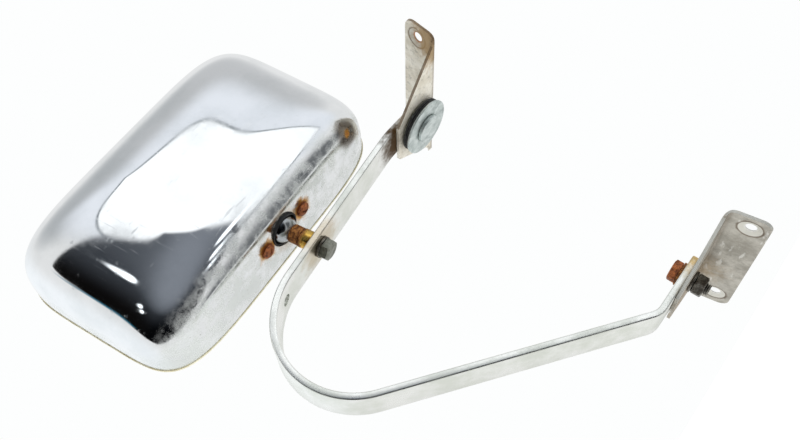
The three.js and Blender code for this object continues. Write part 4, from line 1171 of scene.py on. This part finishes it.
def flat_bar():
    stations = tip_stations(bar_stations())
    vertices = []
    corner = 5.0
    for x, z, turned_by, from_tip in stations:
        missing = corner - math.sqrt(max(0.0, corner ** 2 - (corner - min(from_tip, corner)) ** 2))
        thin = 0.35 if from_tip < 0.01 else 0.0
        for across, up in bar_section(BAR_WIDTH / 2 - missing, BAR_THICK / 2 - thin):
            vertices.append((x + up * math.sin(turned_by), across, z + up * math.cos(turned_by)))
    sides = len(vertices) // len(stations)
    faces = [tuple(range(sides)), tuple(range(len(vertices) - 1, len(vertices) - sides - 1, -1))]
    for i in range(len(stations) - 1):
        for k in range(sides):
            m = (k + 1) % sides
            faces.append((i * sides + k, i * sides + m, (i + 1) * sides + m, (i + 1) * sides + k))
    return face_outward(make_object("flat_bar_arm", vertices, faces, BAR))


bar = flat_bar()
bar = drilled(bar, HOLE, (0, 0, PIVOT_HEIGHT), BAR, 20)
bar = drilled(bar, HOLE, (0, 0, 0), BAR, 20)
bar = drilled(bar, HOLE, (0, 0, BAR_MIDDLE), STUD, 20)
# A spare hole in the wide bend, square to the bar there.
SPARE_HOLE, SPARE_DIAMETER, SPARE_SLOPE = (159.1, 0, 192.7), 8, 20
bar = drilled(bar, SPARE_DIAMETER, SPARE_HOLE, BAR, 20, Matrix.Rotation(math.radians(SPARE_SLOPE), 4, "Y"))
smooth(bar, 40)
finish(bar, bar_plate, "arm", "arm_strip")


# %% [markdown]
# ## Door brackets
# One pressing is used both ways up: a plate for the door, folded into a flange with two slanted sides. The
# CAD solid has the exact shape, so each bracket starts from it, loses its flat facets and gets broken edges.
# %% Brackets from the CAD solids
def bracket(name, node, place):
    source = frame["nodes"][node]
    mesh = source.data.copy()
    mesh.transform(place.inverted() @ source.matrix_world)
    obj = bpy.data.objects.new(name, mesh)
    bpy.context.collection.objects.link(obj)
    obj.matrix_world = place
    shape = bmesh.new()
    shape.from_mesh(mesh)
    bmesh.ops.remove_doubles(shape, verts=shape.verts, dist=1e-6)
    bmesh.ops.dissolve_limit(shape, angle_limit=math.radians(1), verts=shape.verts, edges=shape.edges)
    bmesh.ops.recalc_face_normals(shape, faces=shape.faces)
    shape.to_mesh(mesh)
    shape.free()
    soften(obj, 0.35, 3, 42)
    return smooth(obj, 32)


finish(bracket("upper_door_bracket", "upper_bracket", UPPER), upper_sheet, "upper_bracket", "upper_bracket")
finish(bracket("lower_door_bracket", "lower_bracket", LOWER), lower_sheet, "lower_bracket", "lower_bracket")

# %% [markdown]
# ## Hidden clamp parts
# The clamp plate, bridge, spring and nuts are shut in behind the glass. Their CAD solids are right as they
# are, so they keep their shape and only take a steel finish.
# %% Finish on the carried-over solids
for node in ("clamp_plate", "clamp_bridge", "clamp_spring", "socket_nut_inboard", "socket_nut_outboard"):
    frame["nodes"][node].data.materials.clear()
    frame["nodes"][node].data.materials.append(dark_steel)
